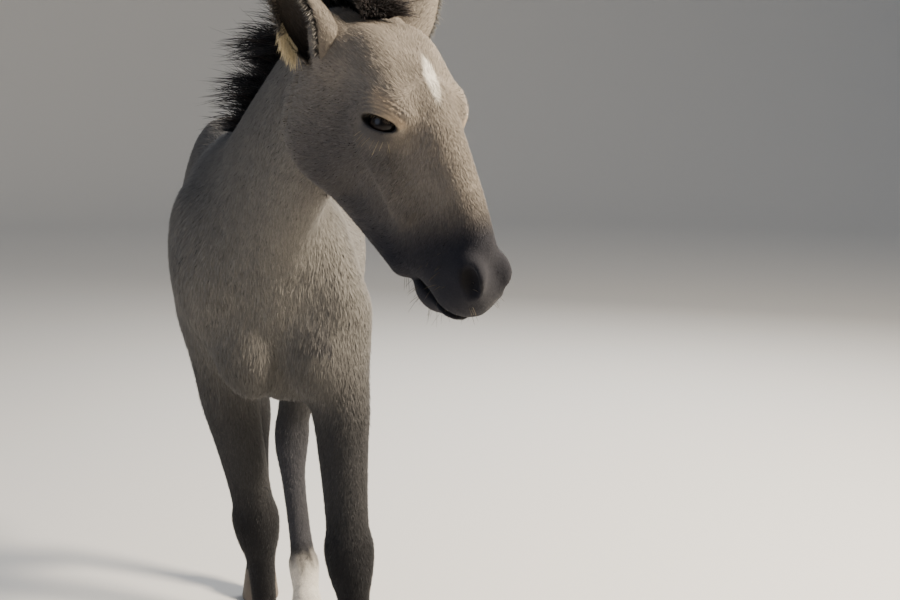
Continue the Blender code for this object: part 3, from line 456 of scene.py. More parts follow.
def model_head(clay):
    """The head: skull, jaws, cheeks, brows and muzzle. Its frame is side, up and along the face."""
    # Along the face: distance from the poll, centre's height, half-width, reach up and down
    face = ((0.010, -0.060, 0.058, 0.055, 0.060), (0.055, -0.052, 0.074, 0.080, 0.078),
            (0.110, -0.045, 0.077, 0.096, 0.084), (0.165, -0.045, 0.070, 0.096, 0.078),
            (0.230, -0.047, 0.055, 0.090, 0.065), (0.300, -0.050, 0.047, 0.080, 0.054),
            (0.350, -0.052, 0.043, 0.070, 0.046), (0.390, -0.050, 0.041, 0.056, 0.036))
    rows = [(0, up, along, half, over, under) for along, up, half, over, under in face]
    clay.add(Tube(HEAD, rows, (0, 1, 0)), 0.035)
    bridge = ((0, 0.018, 0.120, 0.036, 0.030, 0.03), (0, 0.026, 0.205, 0.028, 0.022, 0.03),
              (0, 0.015, 0.300, 0.024, 0.020, 0.03), (0, 0.004, 0.360, 0.022, 0.018, 0.03))
    clay.add(Tube(HEAD, bridge, (0, 1, 0)), 0.03)
    for place in both_sides((0.046, 0.004, 0.085)):  # temple
        clay.add(Lump(HEAD, place, (0.034, 0.040, 0.060)), 0.03)
    for place in both_sides((0.043, -0.108, 0.100)):  # cheek
        clay.add(Lump(HEAD, place, (0.030, 0.074, 0.082)), 0.03)
    for side in (1, -1):
        jaw = ((side * 0.034, -0.150, 0.105, 0.020, 0.022, 0.022),
               (side * 0.029, -0.136, 0.200, 0.016, 0.018, 0.018),
               (side * 0.020, -0.106, 0.320, 0.015, 0.016, 0.016))
        clay.add(Tube(HEAD, jaw, (0, 1, 0)), 0.04)
        crest = ((side * 0.062, -0.020, 0.150, 0.010, 0.010, 0.010),
                 (side * 0.057, -0.032, 0.215, 0.008, 0.009, 0.009),
                 (side * 0.047, -0.042, 0.275, 0.006, 0.007, 0.007))
        clay.add(Tube(HEAD, crest, (0, 1, 0)), 0.032)
    for place in both_sides((0.060, 0.010, 0.150)):  # brow and socket
        clay.add(Lump(HEAD, place, (0.026, 0.032, 0.040)), 0.03)
    for place in both_sides((0.028, -0.014, 0.392)):  # nostril's wing
        clay.add(Lump(HEAD, place, (0.020, 0.031, 0.030)), 0.02)
    clay.add(Lump(HEAD, (0, -0.047, 0.404), (0.040, 0.038, 0.029)), 0.02)  # upper lip
    chin = Lump(HEAD, (0, -0.094, 0.376), (0.027, 0.022, 0.034), (-20, 0, 0))  # with the lower lip
    clay.add(chin, 0.012)


def model_face(clay):
    """The openings of the face: eyes between their lids, nostrils and the line of the mouth."""
    for side in (1, -1):
        eye, look, slit = eye_frame(side)
        ball = Frame(eye, np.cross(slit, look), slit, look)
        clay.add(Lump(ball, (0, 0, 0), (LID_RADIUS, LID_RADIUS, LID_RADIUS)), 0.014)
        clay.add(Lump(ball, (side * 0.020, 0.002, 0.004), (0.010, 0.028, 0.012)), 0.014)  # brow
        clay.cut(Lump(ball, (side * -0.001, 0, 0.020), EYE_SLIT), 0.003)
        nostril = (side * NOSTRIL[0], NOSTRIL[1], NOSTRIL[2])
        clay.cut(Lump(HEAD, nostril, (0.015, 0.0085, 0.021), (28, side * -14, 0)), 0.006)
    mouth = Lump(HEAD, (0, -0.073, 0.398), (0.060, 0.0045, 0.050), (-22, 0, 0))
    clay.cut(mouth, 0.004)
    gums = Lump(HEAD, (0, -0.070, 0.374), (0.024, 0.026, 0.034))  # behind the lips
    front_gums = Lump(HEAD, (0, -0.0735, 0.396), (0.020, 0.015, 0.024), (-22, 0, 0))
    for part in (gums, front_gums):
        clay.add(part, 0.002)


def eye_frame(side):
    """An eye's middle, the way it looks and the way its slit runs, in world directions."""
    middle = HEAD.outward((side * EYE_PLACE[0], EYE_PLACE[1], EYE_PLACE[2]))
    look = np.array(EYE_LOOK) * (side, 1, 1) @ HEAD.axes
    slit = np.array(EYE_SLIT_WAY) * (side, 1, 1) @ HEAD.axes
    look /= np.linalg.norm(look)
    slit -= slit.dot(look) * look
    return middle, look, slit / np.linalg.norm(slit)


def model_legs(clay):
    """All four legs, with the hamstrings and the points of the hocks on the hind ones."""
    for joints in (LEFT_FORE, RIGHT_FORE):
        model_leg(clay, joints, FORE_OUTLINE)
    for joints in (LEFT_HIND, RIGHT_HIND):
        model_leg(clay, joints, HIND_OUTLINE)
        hip, stifle, hock = (np.array(joint) for joint in joints[:3])
        hamstring = ((*(hip + (0, 0.095, -0.06)), 0.050, 0.055, 0.055),
                     (*(hip + 0.8 * (stifle - hip) + (0, 0.110, -0.02)), 0.048, 0.055, 0.052),
                     (*(stifle + 0.45 * (hock - stifle) + (0, 0.030, 0)), 0.032, 0.040, 0.034))
        clay.add(Tube(WORLD, hamstring, LEG_FRONT), 0.06)
        hock = hock + HOCK_POINT
        clay.add(Lump(WORLD, hock, (0.017, 0.020, 0.036), (-12, 0, 0)), 0.025)


print("forms ready")

# %% [markdown]
# ## Small helpers
# Smooth steps, colours, node setups and meshes made from arrays.

# %%
def smooth(value, start, end):
    """0 before start, 1 after end, and a smooth rise between them."""
    part = np.clip((value - start) / (end - start), 0, 1)
    return part * part * (3 - 2 * part)


def unit(vector):
    return vector / np.linalg.norm(vector)


def linear(code):
    """A linear colour from an sRGB hex code."""
    levels = np.array([int(code[i:i + 2], 16) / 255 for i in (0, 2, 4)])
    return np.where(levels <= 0.04045, levels / 12.92, ((levels + 0.055) / 1.055) ** 2.4)


def mixed(colour, other, part):
    """Rows of colours, changed towards another colour by each row's part."""
    return colour + (np.asarray(other) - colour) * np.asarray(part)[..., None]


def add_node(tree, kind, settings=None, links=None):
    """Adds a shader node, sets its inputs, and links others' outputs to its inputs."""
    node = tree.nodes.new(kind)
    for name, value in (settings or {}).items():
        if name in node.inputs:
            node.inputs[name].default_value = value
        else:
            setattr(node, name, value)
    for name, output in (links or {}).items():
        tree.links.new(output, node.inputs[name])
    return node


def mesh_from_arrays(name, points, triangles):
    """A smooth-shaded mesh of triangles."""
    mesh = bpy.data.meshes.new(name)
    mesh.vertices.add(len(points))
    mesh.vertices.foreach_set("co", np.asarray(points, np.float32).ravel())
    mesh.loops.add(len(triangles) * 3)
    mesh.loops.foreach_set("vertex_index", np.asarray(triangles, np.int32).ravel())
    mesh.polygons.add(len(triangles))
    mesh.polygons.foreach_set("loop_start", np.arange(0, len(triangles) * 3, 3, dtype=np.int32))
    mesh.polygons.foreach_set("use_smooth", np.ones(len(triangles), bool))
    mesh.update(calc_edges=True)
    return mesh


def face_outward(mesh):
    """Turns all faces of a closed mesh outward."""
    work = bmesh.new()
    work.from_mesh(mesh)
    bmesh.ops.recalc_face_normals(work, faces=work.faces[:])
    work.to_mesh(mesh)
    work.free()


def show(name, mesh, material):
    """Puts a mesh into the scene as a piece that rides on the frame."""
    thing = bpy.data.objects.new(name, mesh)
    bpy.context.scene.collection.objects.link(thing)
    mesh.materials.clear()
    mesh.materials.append(material)
    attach(thing, "root")
    return thing


def set_colours(mesh, colours):
    """Stores one linear colour for each point."""
    attribute = mesh.color_attributes.new("coat_colour", "FLOAT_COLOR", "POINT")
    rows = np.ones((len(colours), 4), np.float32)
    rows[:, :3] = colours
    attribute.data.foreach_set("color", rows.ravel())


def points_of(mesh):
    points = np.empty(len(mesh.vertices) * 3, np.float32)
    mesh.vertices.foreach_get("co", points)
    return points.reshape(-1, 3).astype(float)


def normals_of(mesh):
    normals = np.empty(len(mesh.vertices) * 3, np.float32)
    mesh.vertices.foreach_get("normal", normals)
    return normals.reshape(-1, 3).astype(float)


print("helpers ready")

# %% [markdown]
# ## Markings
# One function gives the colour of skin and coat alike. A mouse-grey colt is darker on the legs,
# muzzle and lids' rims, with a small star, one white sock and black points. Shade is painted on
# the jaw and cheeks, around and below the eyes, in the nostrils and low on the front of the chest.

# %%
BODY_COLOUR = linear("67645f")
BACK_COLOUR = linear("575553")
FACE_COLOUR = linear("7a7268")
# painted shade for the lower sides of the head and below the eyes
HEAD_SHADE_COLOUR = linear("3f3d3e")
LEG_COLOUR = linear("272729")
KNEE_COLOUR = linear("121215")
PALE_LEG_COLOUR = linear("454549")
MUZZLE_COLOUR = linear("232329")
LID_COLOUR = linear("a5927a")
# the dark skin of the lids' rims, also used for painted shade in the nostrils
LID_RIM_AND_NOSTRIL_SHADE_COLOUR = linear("171414")
WHITE = linear("d9d3c8")
BROWN = linear("6a5140")
CREAM = linear("cdbd98")
EAR_INSIDE = linear("2f2a28")


def near(points, place, radii):
    """1 at a place, falling to 0 at the radii around it."""
    offset = (points - np.array(place)) / np.array(radii)
    return 1 - smooth(np.sqrt((offset ** 2).sum(-1)), 0.45, 1.0)


def head_places(points):
    """Places in the head's frame, and the same with both sides laid on the left one."""
    own = HEAD.inward(points)
    return own, np.column_stack((np.abs(own[:, 0]), own[:, 1:]))


def around_eye(points):
    """Places around the nearer eye: above it, along its slit and out of it."""
    look = unit(np.array(EYE_LOOK))
    slit = unit(np.array(EYE_SLIT_WAY) - np.dot(EYE_SLIT_WAY, look) * look)
    axes = np.array((np.cross(slit, look), slit, look))
    return (head_places(points)[1] - np.array(EYE_PLACE)) @ axes.T


def on_head(points):
    """1 on the head, 0 on the rest of the body."""
    ahead = (HEAD.inward(points) - np.array(HEAD_CUT)) @ np.array(HEAD_CUT_AHEAD)
    return smooth(ahead, -0.05, 0.05) * (points[:, 2] > 0.70) * (points[:, 1] < -0.47)


def waves(points, size, seed):
    """A smooth irregular pattern from -1 to 1 with features of about one size."""
    chance = np.random.default_rng(seed)
    runs = chance.normal(0, 1, (7, 3))
    runs /= np.linalg.norm(runs, axis=1)[:, None] * size * chance.uniform(0.6, 1.6, (7, 1))
    return np.sin(points @ runs.T * np.pi + chance.uniform(0, 6.28, 7)).sum(1) / 4.5


def face_marking(points):
    """The colour of the face: dark muzzle and lids' rims, tan upper lids and a small star, with painted
    shade on jaw and cheeks, around and below the eyes and in the nostrils.
    """
    own, both = head_places(points)
    colour = np.tile(FACE_COLOUR, (len(points), 1))
    # painted shade on the lower side of the head, over the jaw and cheeks
    jaw = smooth(own[:, 1], 0.02, -0.09) * smooth(own[:, 2], 0.02, 0.16)
    colour = mixed(colour, HEAD_SHADE_COLOUR, 0.85 * jaw)
    colour = mixed(colour, MUZZLE_COLOUR, smooth(own[:, 2] - 0.30 * own[:, 1], 0.265, 0.350))
    # painted shade around and below the eye
    colour = mixed(colour, HEAD_SHADE_COLOUR, 0.50 * near(both, (0.074, -0.024, 0.165), (0.060, 0.055, 0.085)))
    colour = mixed(colour, LID_COLOUR, 0.85 * near(both, (0.066, 0.022, 0.155), (0.032, 0.020, 0.036)))
    ragged = 0.003 * waves(points, 0.018, 3)
    star = own + np.column_stack((0.22 * (own[:, 2] - 0.135) + ragged, 0 * ragged, 2 * ragged))
    colour = mixed(colour, WHITE, 0.90 * near(star, (0.000, 0.060, 0.135), (0.013, 0.05, 0.044)))
    by_eye = around_eye(points)
    above, across, out = by_eye.T
    colour = mixed(colour, LID_COLOUR, 0.80 * near(by_eye, (0.007, 0.016, 0.016), (0.013, 0.024, 0.03)))
    # painted shade under the eye
    colour = mixed(colour, HEAD_SHADE_COLOUR, 0.75 * near(by_eye, (-0.017, -0.004, 0.016), (0.016, 0.034, 0.03)))
    slit = np.hypot(across / EYE_SLIT[1], (above + 0.001) / EYE_SLIT[0])
    rim = (1 - smooth(slit, 1.00, 1.28)) * (out > 0) * (out < 0.04)
    colour = mixed(colour, LID_RIM_AND_NOSTRIL_SHADE_COLOUR, 0.95 * rim)
    # painted shade in and around the hollows of the nostrils
    nostril = near(both, NOSTRIL, (0.022, 0.016, 0.030))
    return mixed(colour, LID_RIM_AND_NOSTRIL_SHADE_COLOUR, 0.7 * nostril)


def marking(points):
    """The colour of the coat at places in the body's own frame."""
    x, y, height = points.T
    colour = np.tile(BODY_COLOUR, (len(points), 1))
    colour = mixed(colour, BACK_COLOUR, 0.8 * smooth(height, 0.88, 1.02) * smooth(y, -0.50, -0.36))
    # painted shade: the dark of the legs reaches higher on the front of the chest
    chest_shade_lift = 1 - smooth(y, -0.36, -0.10)
    colour = mixed(colour, LEG_COLOUR, 0.92 * (1 - smooth(height - 0.10 * chest_shade_lift, 0.42, 0.72)))
    colour = mixed(colour, KNEE_COLOUR, 0.90 * (1 - smooth(height, 0.32, 0.47)))
    left_hind = (x > 0.003) * (y > 0.0) * (y < 0.29)
    cannon = smooth(height, 0.14, 0.20) * (1 - smooth(height, 0.34, 0.47))
    colour = mixed(colour, PALE_LEG_COLOUR, 0.75 * left_hind * cannon)
    ragged = height + 0.012 * waves(points * (1, 1, 0.3), 0.010, 5)
    colour = mixed(colour, WHITE, 0.9 * left_hind * (1 - smooth(ragged, 0.115, 0.175)))
    dark = near(np.column_stack((x, y, ragged)), (0.055, 0.060, 0.142), (0.024, 0.045, 0.040))
    colour = mixed(colour, LEG_COLOUR, 0.90 * left_hind * dark)
    return mixed(colour, face_marking(points), on_head(points))


# Where the coat's lie is set: a place and the way the hair runs there, in the body's own frame
LIE = [((0, -0.20, 1.05), (0, 1, -0.15)), ((0, 0.10, 1.05), (0, 1, -0.05)),
       ((0, 0.38, 1.05), (0, 0.8, -0.6)),
       ((0.15, -0.05, 0.85), (0, 0.8, -0.6)), ((-0.20, -0.05, 0.85), (0, 0.8, -0.6)),
       ((0.14, -0.30, 0.88), (0.1, 0.25, -1)), ((-0.18, -0.30, 0.88), (-0.1, 0.25, -1)),
       ((0.17, 0.10, 0.75), (0, 0.7, -0.7)), ((-0.19, 0.10, 0.75), (0, 0.7, -0.7)),
       ((0.13, 0.35, 0.85), (0, 0.45, -0.9)), ((-0.14, 0.35, 0.85), (0, 0.45, -0.9)),
       ((0, 0.05, 0.62), (0, 1, 0)), ((0, -0.43, 0.75), (0, 0.1, -1)), ((0.0, -0.40, 0.62), (0, 0.3, -1)),
       ((0.10, -0.40, 0.35), (0, 0.05, -1)), ((-0.05, -0.23, 0.35), (0, 0.05, -1)),
       ((0.05, 0.20, 0.35), (0, 0.1, -1)), ((-0.05, 0.38, 0.35), (0, 0.1, -1)),
       ((0.02, -0.55, 1.04), (-0.1, 0.35, -0.9)), ((0.07, -0.68, 1.10), (-0.1, 0.25, -0.95)),
       ((-0.02, -0.40, 0.98), (-0.1, 0.5, -0.85)), ((0, -0.42, 0.90), (0, 0.1, -1))]
# The same on the head, in the head's frame: down the face below the star, up above it
HEAD_LIE = [((0, 0.075, 0.17), (0, -0.1, 1)), ((0, 0.06, 0.30), (0, 0, 1)),
            ((0.04, 0.02, 0.30), (0.2, -0.3, 1)),
            ((0, 0.055, 0.09), (0, 0.3, -1)), ((0.05, 0.04, 0.08), (0.6, 0, -0.9)),
            ((0.07, -0.05, 0.12), (0.1, -0.9, -0.5)), ((0.06, -0.12, 0.10), (0, -0.8, -0.7)),
            ((0.06, -0.05, 0.22), (0.1, -0.8, 0.3)), ((0.04, -0.05, 0.32), (0.1, -0.8, 0.5)),
            ((0.03, 0.0, 0.40), (0.2, -0.6, 0.6)), ((0, -0.12, 0.30), (0, -0.2, -1))]


def lie_table():
    """All places of the lie, in the body's own frame, with their directions."""
    places = [place for place, way in LIE]
    ways = [way for place, way in LIE]
    for (side, up, along), way in HEAD_LIE:
        for sign in ((1, -1) if side else (1,)):
            places.append(HEAD.outward(np.array((sign * side, up, along))))
            ways.append(np.array((sign * way[0], way[1], way[2])) @ HEAD.axes)
    return np.array(places, float), np.array([unit(np.array(way, float)) for way in ways])


LIE_PLACES, LIE_WAYS = lie_table()


def lie(points, normals):
    """The way the coat runs at each place, in the plane of the skin."""
    gaps = np.linalg.norm(points[:, None, :] - LIE_PLACES[None], axis=2) + 0.01
    weights = gaps ** -4
    way = (weights[:, :, None] * LIE_WAYS[None]).sum(1)
    way -= (way * normals).sum(1)[:, None] * normals
    return way / (np.linalg.norm(way, axis=1)[:, None] + 1e-9)


print("markings and", len(LIE_PLACES), "directions of the lie ready")

# %% [markdown]
# ## Materials
# Coat and skin read their colours from the points, and add their own fine variation.

# %%
def coat_material(name, roughness, bump, scale, spread):
    """Hair or skin: the stored colour with fine variation and, if asked for, a fine bump."""
    material = bpy.data.materials.new(name)
    material.use_nodes = True
    tree = material.node_tree
    shader = tree.nodes["Principled BSDF"]
    stored = add_node(tree, "ShaderNodeAttribute", {"attribute_name": "coat_colour"})
    place = add_node(tree, "ShaderNodeTexCoord")
    noise = add_node(tree, "ShaderNodeTexNoise", {"Scale": scale, "Detail": 4.0, "Roughness": 0.6},
                     {"Vector": place.outputs["Object"]})
    level = add_node(tree, "ShaderNodeMapRange", {"From Min": 0.25, "From Max": 0.75, "To Min": 1 - spread,
                                                  "To Max": 1 + spread}, {"Value": noise.outputs["Fac"]})
    colour = add_node(tree, "ShaderNodeVectorMath", {"operation": "SCALE"},
                      {"Vector": stored.outputs["Color"], "Scale": level.outputs["Result"]})
    tree.links.new(colour.outputs["Vector"], shader.inputs["Base Color"])
    shader.inputs["Roughness"].default_value = roughness
    shader.inputs["Specular IOR Level"].default_value = 0.20
    shader.inputs["Sheen Weight"].default_value = 0.06
    shader.inputs["Sheen Roughness"].default_value = 0.5
    if bump > 0:
        bumps = add_node(tree, "ShaderNodeBump", {"Strength": bump, "Distance": 0.001},
                         {"Height": noise.outputs["Fac"]})
        tree.links.new(bumps.outputs["Normal"], shader.inputs["Normal"])
    return material


SKIN = coat_material("short_hair_over_skin", 0.9, 0.6, 420.0, 0.16)
HAIR = coat_material("coat_hair", 0.8, 0.0, 900.0, 0.18)
LONG_HAIR = coat_material("mane_and_tail_hair", 0.62, 0.0, 600.0, 0.25)
print("materials:", SKIN.name, HAIR.name, LONG_HAIR.name)

# %% [markdown]
# ## Skin
# One skin for all the flesh. It lies inside the coat's outline by the coat's depth. The body and
# the finer head overlap by a few millimetres behind the jaw, where both have the same form.
# Bones and veins of the head are brought out a little, and fine folds raised over the upper lids.

# %%
def flesh(low, high, step, parts):
    """Clay in a box with some parts of the body modelled in it."""
    clay = Clay(low, high, step)
    for part in parts:
        part(clay)
    return clay


def head_part(points):
    """How far past the join behind the jaw each place lies, in metres."""
    return (HEAD.inward(points) - np.array(HEAD_CUT)) @ np.array(HEAD_CUT_AHEAD)


def in_head_box(points):
    """Whether each place is above the bottom of the head's box and ahead of its back."""
    return (points[..., 2] > HEAD_LOW[2]) & (points[..., 1] < HEAD_HIGH[1])


def inset(clay, join):
    """Draws the surface in by the coat's depth, and ends it a little past the join."""
    window = tuple(slice(0, count) for count in clay.count)
    points = clay.points(window)
    past = head_part(points)
    near_head = in_head_box(points)
    depth = BODY_DEPTH + (FACE_DEPTH - BODY_DEPTH) * smooth(past, -0.06, 0.06) * near_head
    depth += (FOOT_DEPTH - BODY_DEPTH) * (1 - smooth(points[..., 2], 0.15, 0.55))
    clay.field += depth.astype(np.float32)
    ended = np.where(near_head, join * past, -FAR) if join > 0 else join * past
    clay.field = np.maximum(clay.field, (ended - SEAM_OVERLAP).astype(np.float32))


def lightened(mesh, ratio):
    """A mesh with fewer faces, fewest where it is flattest."""
    thing = bpy.data.objects.new(mesh.name, mesh)
    bpy.context.scene.collection.objects.link(thing)
    step = thing.modifiers.new("Decimate", "DECIMATE")
    step.ratio = ratio
    light = bpy.data.meshes.new_from_object(thing.evaluated_get(bpy.context.evaluated_depsgraph_get()))
    bpy.data.objects.remove(thing)
    bpy.data.meshes.remove(mesh)
    return light


def model_ear_bases(clay):
    """The flesh that an ear stands in, in front of its wall and behind it."""
    for place in both_sides((0.070, -0.020, 0.046)):
        clay.add(Lump(HEAD, place, (0.018, 0.028, 0.032)), 0.022)
    for place in both_sides((0.062, -0.022, 0.012)):
        clay.add(Lump(HEAD, place, (0.020, 0.026, 0.030)), 0.022)


def joined_skin():
    """The meshes of body and head as one, finer around the eyes."""
    body = flesh(BODY_LOW, BODY_HIGH, BODY_STEP, (model_trunk, model_legs, model_neck, model_head,
                                                  model_ear_bases))
    inset(body, 1)
    head = flesh(HEAD_LOW, HEAD_HIGH, HEAD_STEP, (model_neck, model_head, model_ear_bases, model_face))
    inset(head, -1)
    work = bmesh.new()
    for clay, name in ((body, "body"), (head, "head")):
        mesh = lightened(clay.mesh(name), SKIN_SHARE)
        work.from_mesh(mesh)
        bpy.data.meshes.remove(mesh)
    bmesh.ops.triangulate(work, faces=work.faces[:])
    middles = np.array([face.calc_center_median() for face in work.faces])
    close = np.linalg.norm(around_eye(middles), axis=1) < 0.045
    edges = {edge for face, inside in zip(work.faces, close) if inside for edge in face.edges}
    bmesh.ops.subdivide_edges(work, edges=list(edges), cuts=2, use_grid_fill=True)
    bmesh.ops.triangulate(work, faces=work.faces[:])
    bmesh.ops.recalc_face_normals(work, faces=work.faces[:])
    mesh = bpy.data.meshes.new("skin")
    work.to_mesh(mesh)
    work.free()
    return mesh


def fold_lids(mesh):
    """Raises the upper lids, and folds the skin over them in fine arcs."""
    points, normals = points_of(mesh), normals_of(mesh)
    above, across, out = around_eye(points).T
    reach = np.hypot(above + 0.004, 0.62 * across)
    upper = smooth(above, 0.005, 0.012) * (1 - smooth(np.abs(across), 0.024, 0.038)) * (out > -0.01)
    turn = 2 * np.pi * (reach - FOLD_START) / FOLD_SPACING
    turn = turn + 0.9 * waves(points, 0.020, 41)
    folds = np.sin(turn) * (0.65 + 0.35 * waves(points, 0.012, 42))
    folds = folds * smooth(reach, 0.016, 0.019) * (1 - smooth(reach, 0.034, 0.040))
    lid = 1 - smooth(np.abs(reach - 0.0135), 0.0, 0.0045)
    rise = upper * (FOLD_HEIGHT * folds + 0.0016 * lid)
    mesh.vertices.foreach_set("co", (points + normals * rise[:, None]).astype(np.float32).ravel())
    mesh.update()


def beside(both, path, half):
    """1 on a path over the side of the head, falling to 0 at a distance from it."""
    flat = both[:, 1:]
    gap = np.full(len(flat), 1.0)
    for start, end in zip(path, path[1:]):
        start, run = np.array(start), np.array(end) - start
        along = ((flat - start) @ run / run.dot(run)).clip(0, 1)
        gap = np.minimum(gap, np.linalg.norm(flat - start - along[:, None] * run, axis=1))
    return (1 - smooth(gap, 0, half)) * smooth(both[:, 0], 0.012, 0.030)


def raise_bones(mesh):
    """Brings out the bones, muscles and veins that lie just under the skin of a lean head."""
    points, normals = points_of(mesh), normals_of(mesh)
    both = head_places(points)[1]
    rise = sum(height * beside(both, path, half) for height, half, path in RELIEF) * on_head(points)
    mesh.vertices.foreach_set("co", (points + normals * rise[:, None]).astype(np.float32).ravel())
    mesh.update()


skin_mesh = joined_skin()
skin_mesh.polygons.foreach_set("use_smooth", np.ones(len(skin_mesh.polygons), bool))
raise_bones(skin_mesh)
fold_lids(skin_mesh)
set_colours(skin_mesh, marking(points_of(skin_mesh)) * 0.85)
print("skin:", len(skin_mesh.polygons), "triangles,", round(time.time() - started, 1), "s")

# %% [markdown]
# ## The OFBake map
# The skin is unwrapped by its own shape. Every tuft later takes a small patch of the map at the
# place where it is rooted.

# %%
def unwrap(thing):
    """Unwraps a mesh by its own shape into the map OFBake."""
    thing.data.uv_layers.new(name="OFBake")
    bpy.context.view_layer.objects.active = thing
    thing.select_set(True)
    bpy.ops.object.mode_set(mode="EDIT")
    bpy.ops.mesh.select_all(action="SELECT")
    bpy.ops.uv.smart_project(angle_limit=math.radians(72), island_margin=0.001)
    bpy.ops.object.mode_set(mode="OBJECT")
    thing.select_set(False)


skin = show("skin", skin_mesh, SKIN)
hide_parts("head", "neck", "torso", *LEGS)
unwrap(skin)
print("skin unwrapped,", round(time.time() - started, 1), "s")

# %% [markdown]
# ## Tufts and strands
# A tuft is a flat, tapered spike of three sides that rises a little from the skin along the coat's
# lie. Strands of the mane and tail are the same with more rings, so that they can bend. Tufts are
# shaded as the ground under them faces, a little turned in patches, as short hair catches light.

# %%
class Ground:
    """A mesh that hair grows on: its triangles' areas, facings, corners and places in its map."""

    def __init__(self, mesh):
        mesh.calc_loop_triangles()
        count = len(mesh.loop_triangles)
        self.points, self.normals = points_of(mesh), normals_of(mesh)
        corners = np.empty(count * 3, np.int32)
        mesh.loop_triangles.foreach_get("vertices", corners)
        loops = np.empty(count * 3, np.int32)
        mesh.loop_triangles.foreach_get("loops", loops)
        places = np.empty(len(mesh.loops) * 2, np.float32)
        mesh.uv_layers["OFBake"].data.foreach_get("uv", places)
        self.corners = corners.reshape(-1, 3)
        self.map = places.reshape(-1, 2)[loops].reshape(-1, 3, 2)
        first, second, third = (self.points[self.corners[:, i]] for i in range(3))
        crosses = np.cross(second - first, third - first)
        self.areas = np.linalg.norm(crosses, axis=1) / 2
        self.facings = crosses / (2 * self.areas[:, None] + 1e-12)
        self.middles = (first + second + third) / 3
        self.tree = None

    def scatter(self, chance, count, weight):
        """Random places on the ground: points, normals and places in the map."""
        odds = self.areas * weight
        chosen = chance.choice(len(odds), size=count, p=odds / odds.sum())
        split = chance.random((count, 2))
        over = split.sum(1) > 1
        split[over] = 1 - split[over]
        parts = np.column_stack((1 - split.sum(1), split))
        points = (self.points[self.corners[chosen]] * parts[:, :, None]).sum(1)
        normals = (self.normals[self.corners[chosen]] * parts[:, :, None]).sum(1)
        normals /= np.linalg.norm(normals, axis=1)[:, None]
        return points, normals, (self.map[chosen] * parts[:, :, None]).sum(1)

    def nearest_map(self, places):
        """The place in the map under each of some places near the ground."""
        if self.tree is None:
            self.tree = kdtree.KDTree(len(self.middles))
            for index, middle in enumerate(self.middles):
                self.tree.insert(middle, index)
            self.tree.balance()
        return np.array([self.map[self.tree.find(place)[1]].mean(0) for place in places])


def bent_strands(roots, ways, bends, flats, lengths, halves, flatness, rings, taper=1.0):
    """Points and triangles of many tapered strands: a triangle in section, closed at the tip."""
    count = len(roots)
    points = np.empty((count, rings * 3 + 1, 3))
    for ring in range(rings):
        part = ring / rings
        middle = roots + lengths[:, None] * (part * ways + part * part * bends)
        run = ways + 2 * part * bends
        run /= np.linalg.norm(run, axis=1)[:, None]
        across = np.cross(run, flats)
        across /= np.linalg.norm(across, axis=1)[:, None] + 1e-9
        flat = np.cross(across, run)
        width = (halves * (0.75 + 0.9 * part - 1.15 * part * part) * taper)[:, None]
        points[:, ring * 3] = middle + across * width
        points[:, ring * 3 + 1] = middle + flat * width * flatness
        points[:, ring * 3 + 2] = middle - across * width
    points[:, -1] = roots + lengths[:, None] * (ways + bends)
    faces = []
    for ring in range(rings - 1):
        for corner in range(3):
            a, b = ring * 3 + corner, ring * 3 + (corner + 1) % 3
            faces += [(b, a, b + 3), (b + 3, a, a + 3)]
    last = (rings - 1) * 3
    faces += [(last + (corner + 1) % 3, last + corner, rings * 3) for corner in range(3)]
    faces = np.array(faces)
    offsets = np.arange(count)[:, None, None] * (rings * 3 + 1)
    return points.reshape(-1, 3), (faces[None] + offsets).reshape(-1, 3)


def hair_mesh(name, strands, rings, colours, places, tip_shade, root_shade, facing=None):
    """A mesh of strands, with root-to-tip shading and each strand's patch in OFBake.

    Where the way each strand faces is given, its shading follows the ground's.
    """
    points, triangles = strands
    mesh = mesh_from_arrays(name, points, triangles)
    each = rings * 3 + 1
    along = np.append(np.repeat(np.arange(rings) / rings, 3), 1.0)
    shade = root_shade + (tip_shade - root_shade) * along
    set_colours(mesh, (colours[:, None, :] * shade[None, :, None]).reshape(-1, 3))
    narrowing = np.repeat(1 - 0.8 * np.arange(rings) / rings, 3)
    sideways = np.append(np.tile((-0.5, 0.0, 0.5), rings) * narrowing, 0.0)
    own = np.column_stack((sideways, along - 0.5)) * PATCH
    spread = (places[:, None, :] + own[None]).reshape(-1, 2)
    layer = mesh.uv_layers.new(name="OFBake")
    layer.data.foreach_set("uv", spread[triangles.ravel()].astype(np.float32).ravel())
    if facing is not None:
        mesh.normals_split_custom_set_from_vertices(np.repeat(facing, each, axis=0))
    return mesh


def tuft_rows(ground, chance, count, weight, size, way_of=lie):
    """Roots, ways, bends and sizes of tufts that lie along the coat."""
    length, half, rise = size
    points, normals, places = ground.scatter(chance, count, weight)
    ways = way_of(points, normals)
    sideways = np.cross(normals, ways)
    turn = 0.22 * waves(points, 0.035, 11) + 0.12 * waves(points, 0.012, 12) + chance.normal(0, 0.14, count)
    ways = ways + turn[:, None] * sideways
    lengths = length * chance.uniform(0.7, 1.25, count)
    lift = rise * chance.uniform(0.5, 1.5, count)[:, None]
    start = ways + lift * normals
    start /= np.linalg.norm(start, axis=1)[:, None]
    bends = -0.30 * lift * normals + chance.normal(0, 0.06, count)[:, None] * sideways
    roots = points - normals * 0.5 * half
    return roots, start, bends, normals, lengths, half * chance.uniform(0.8, 1.2, count), places, points


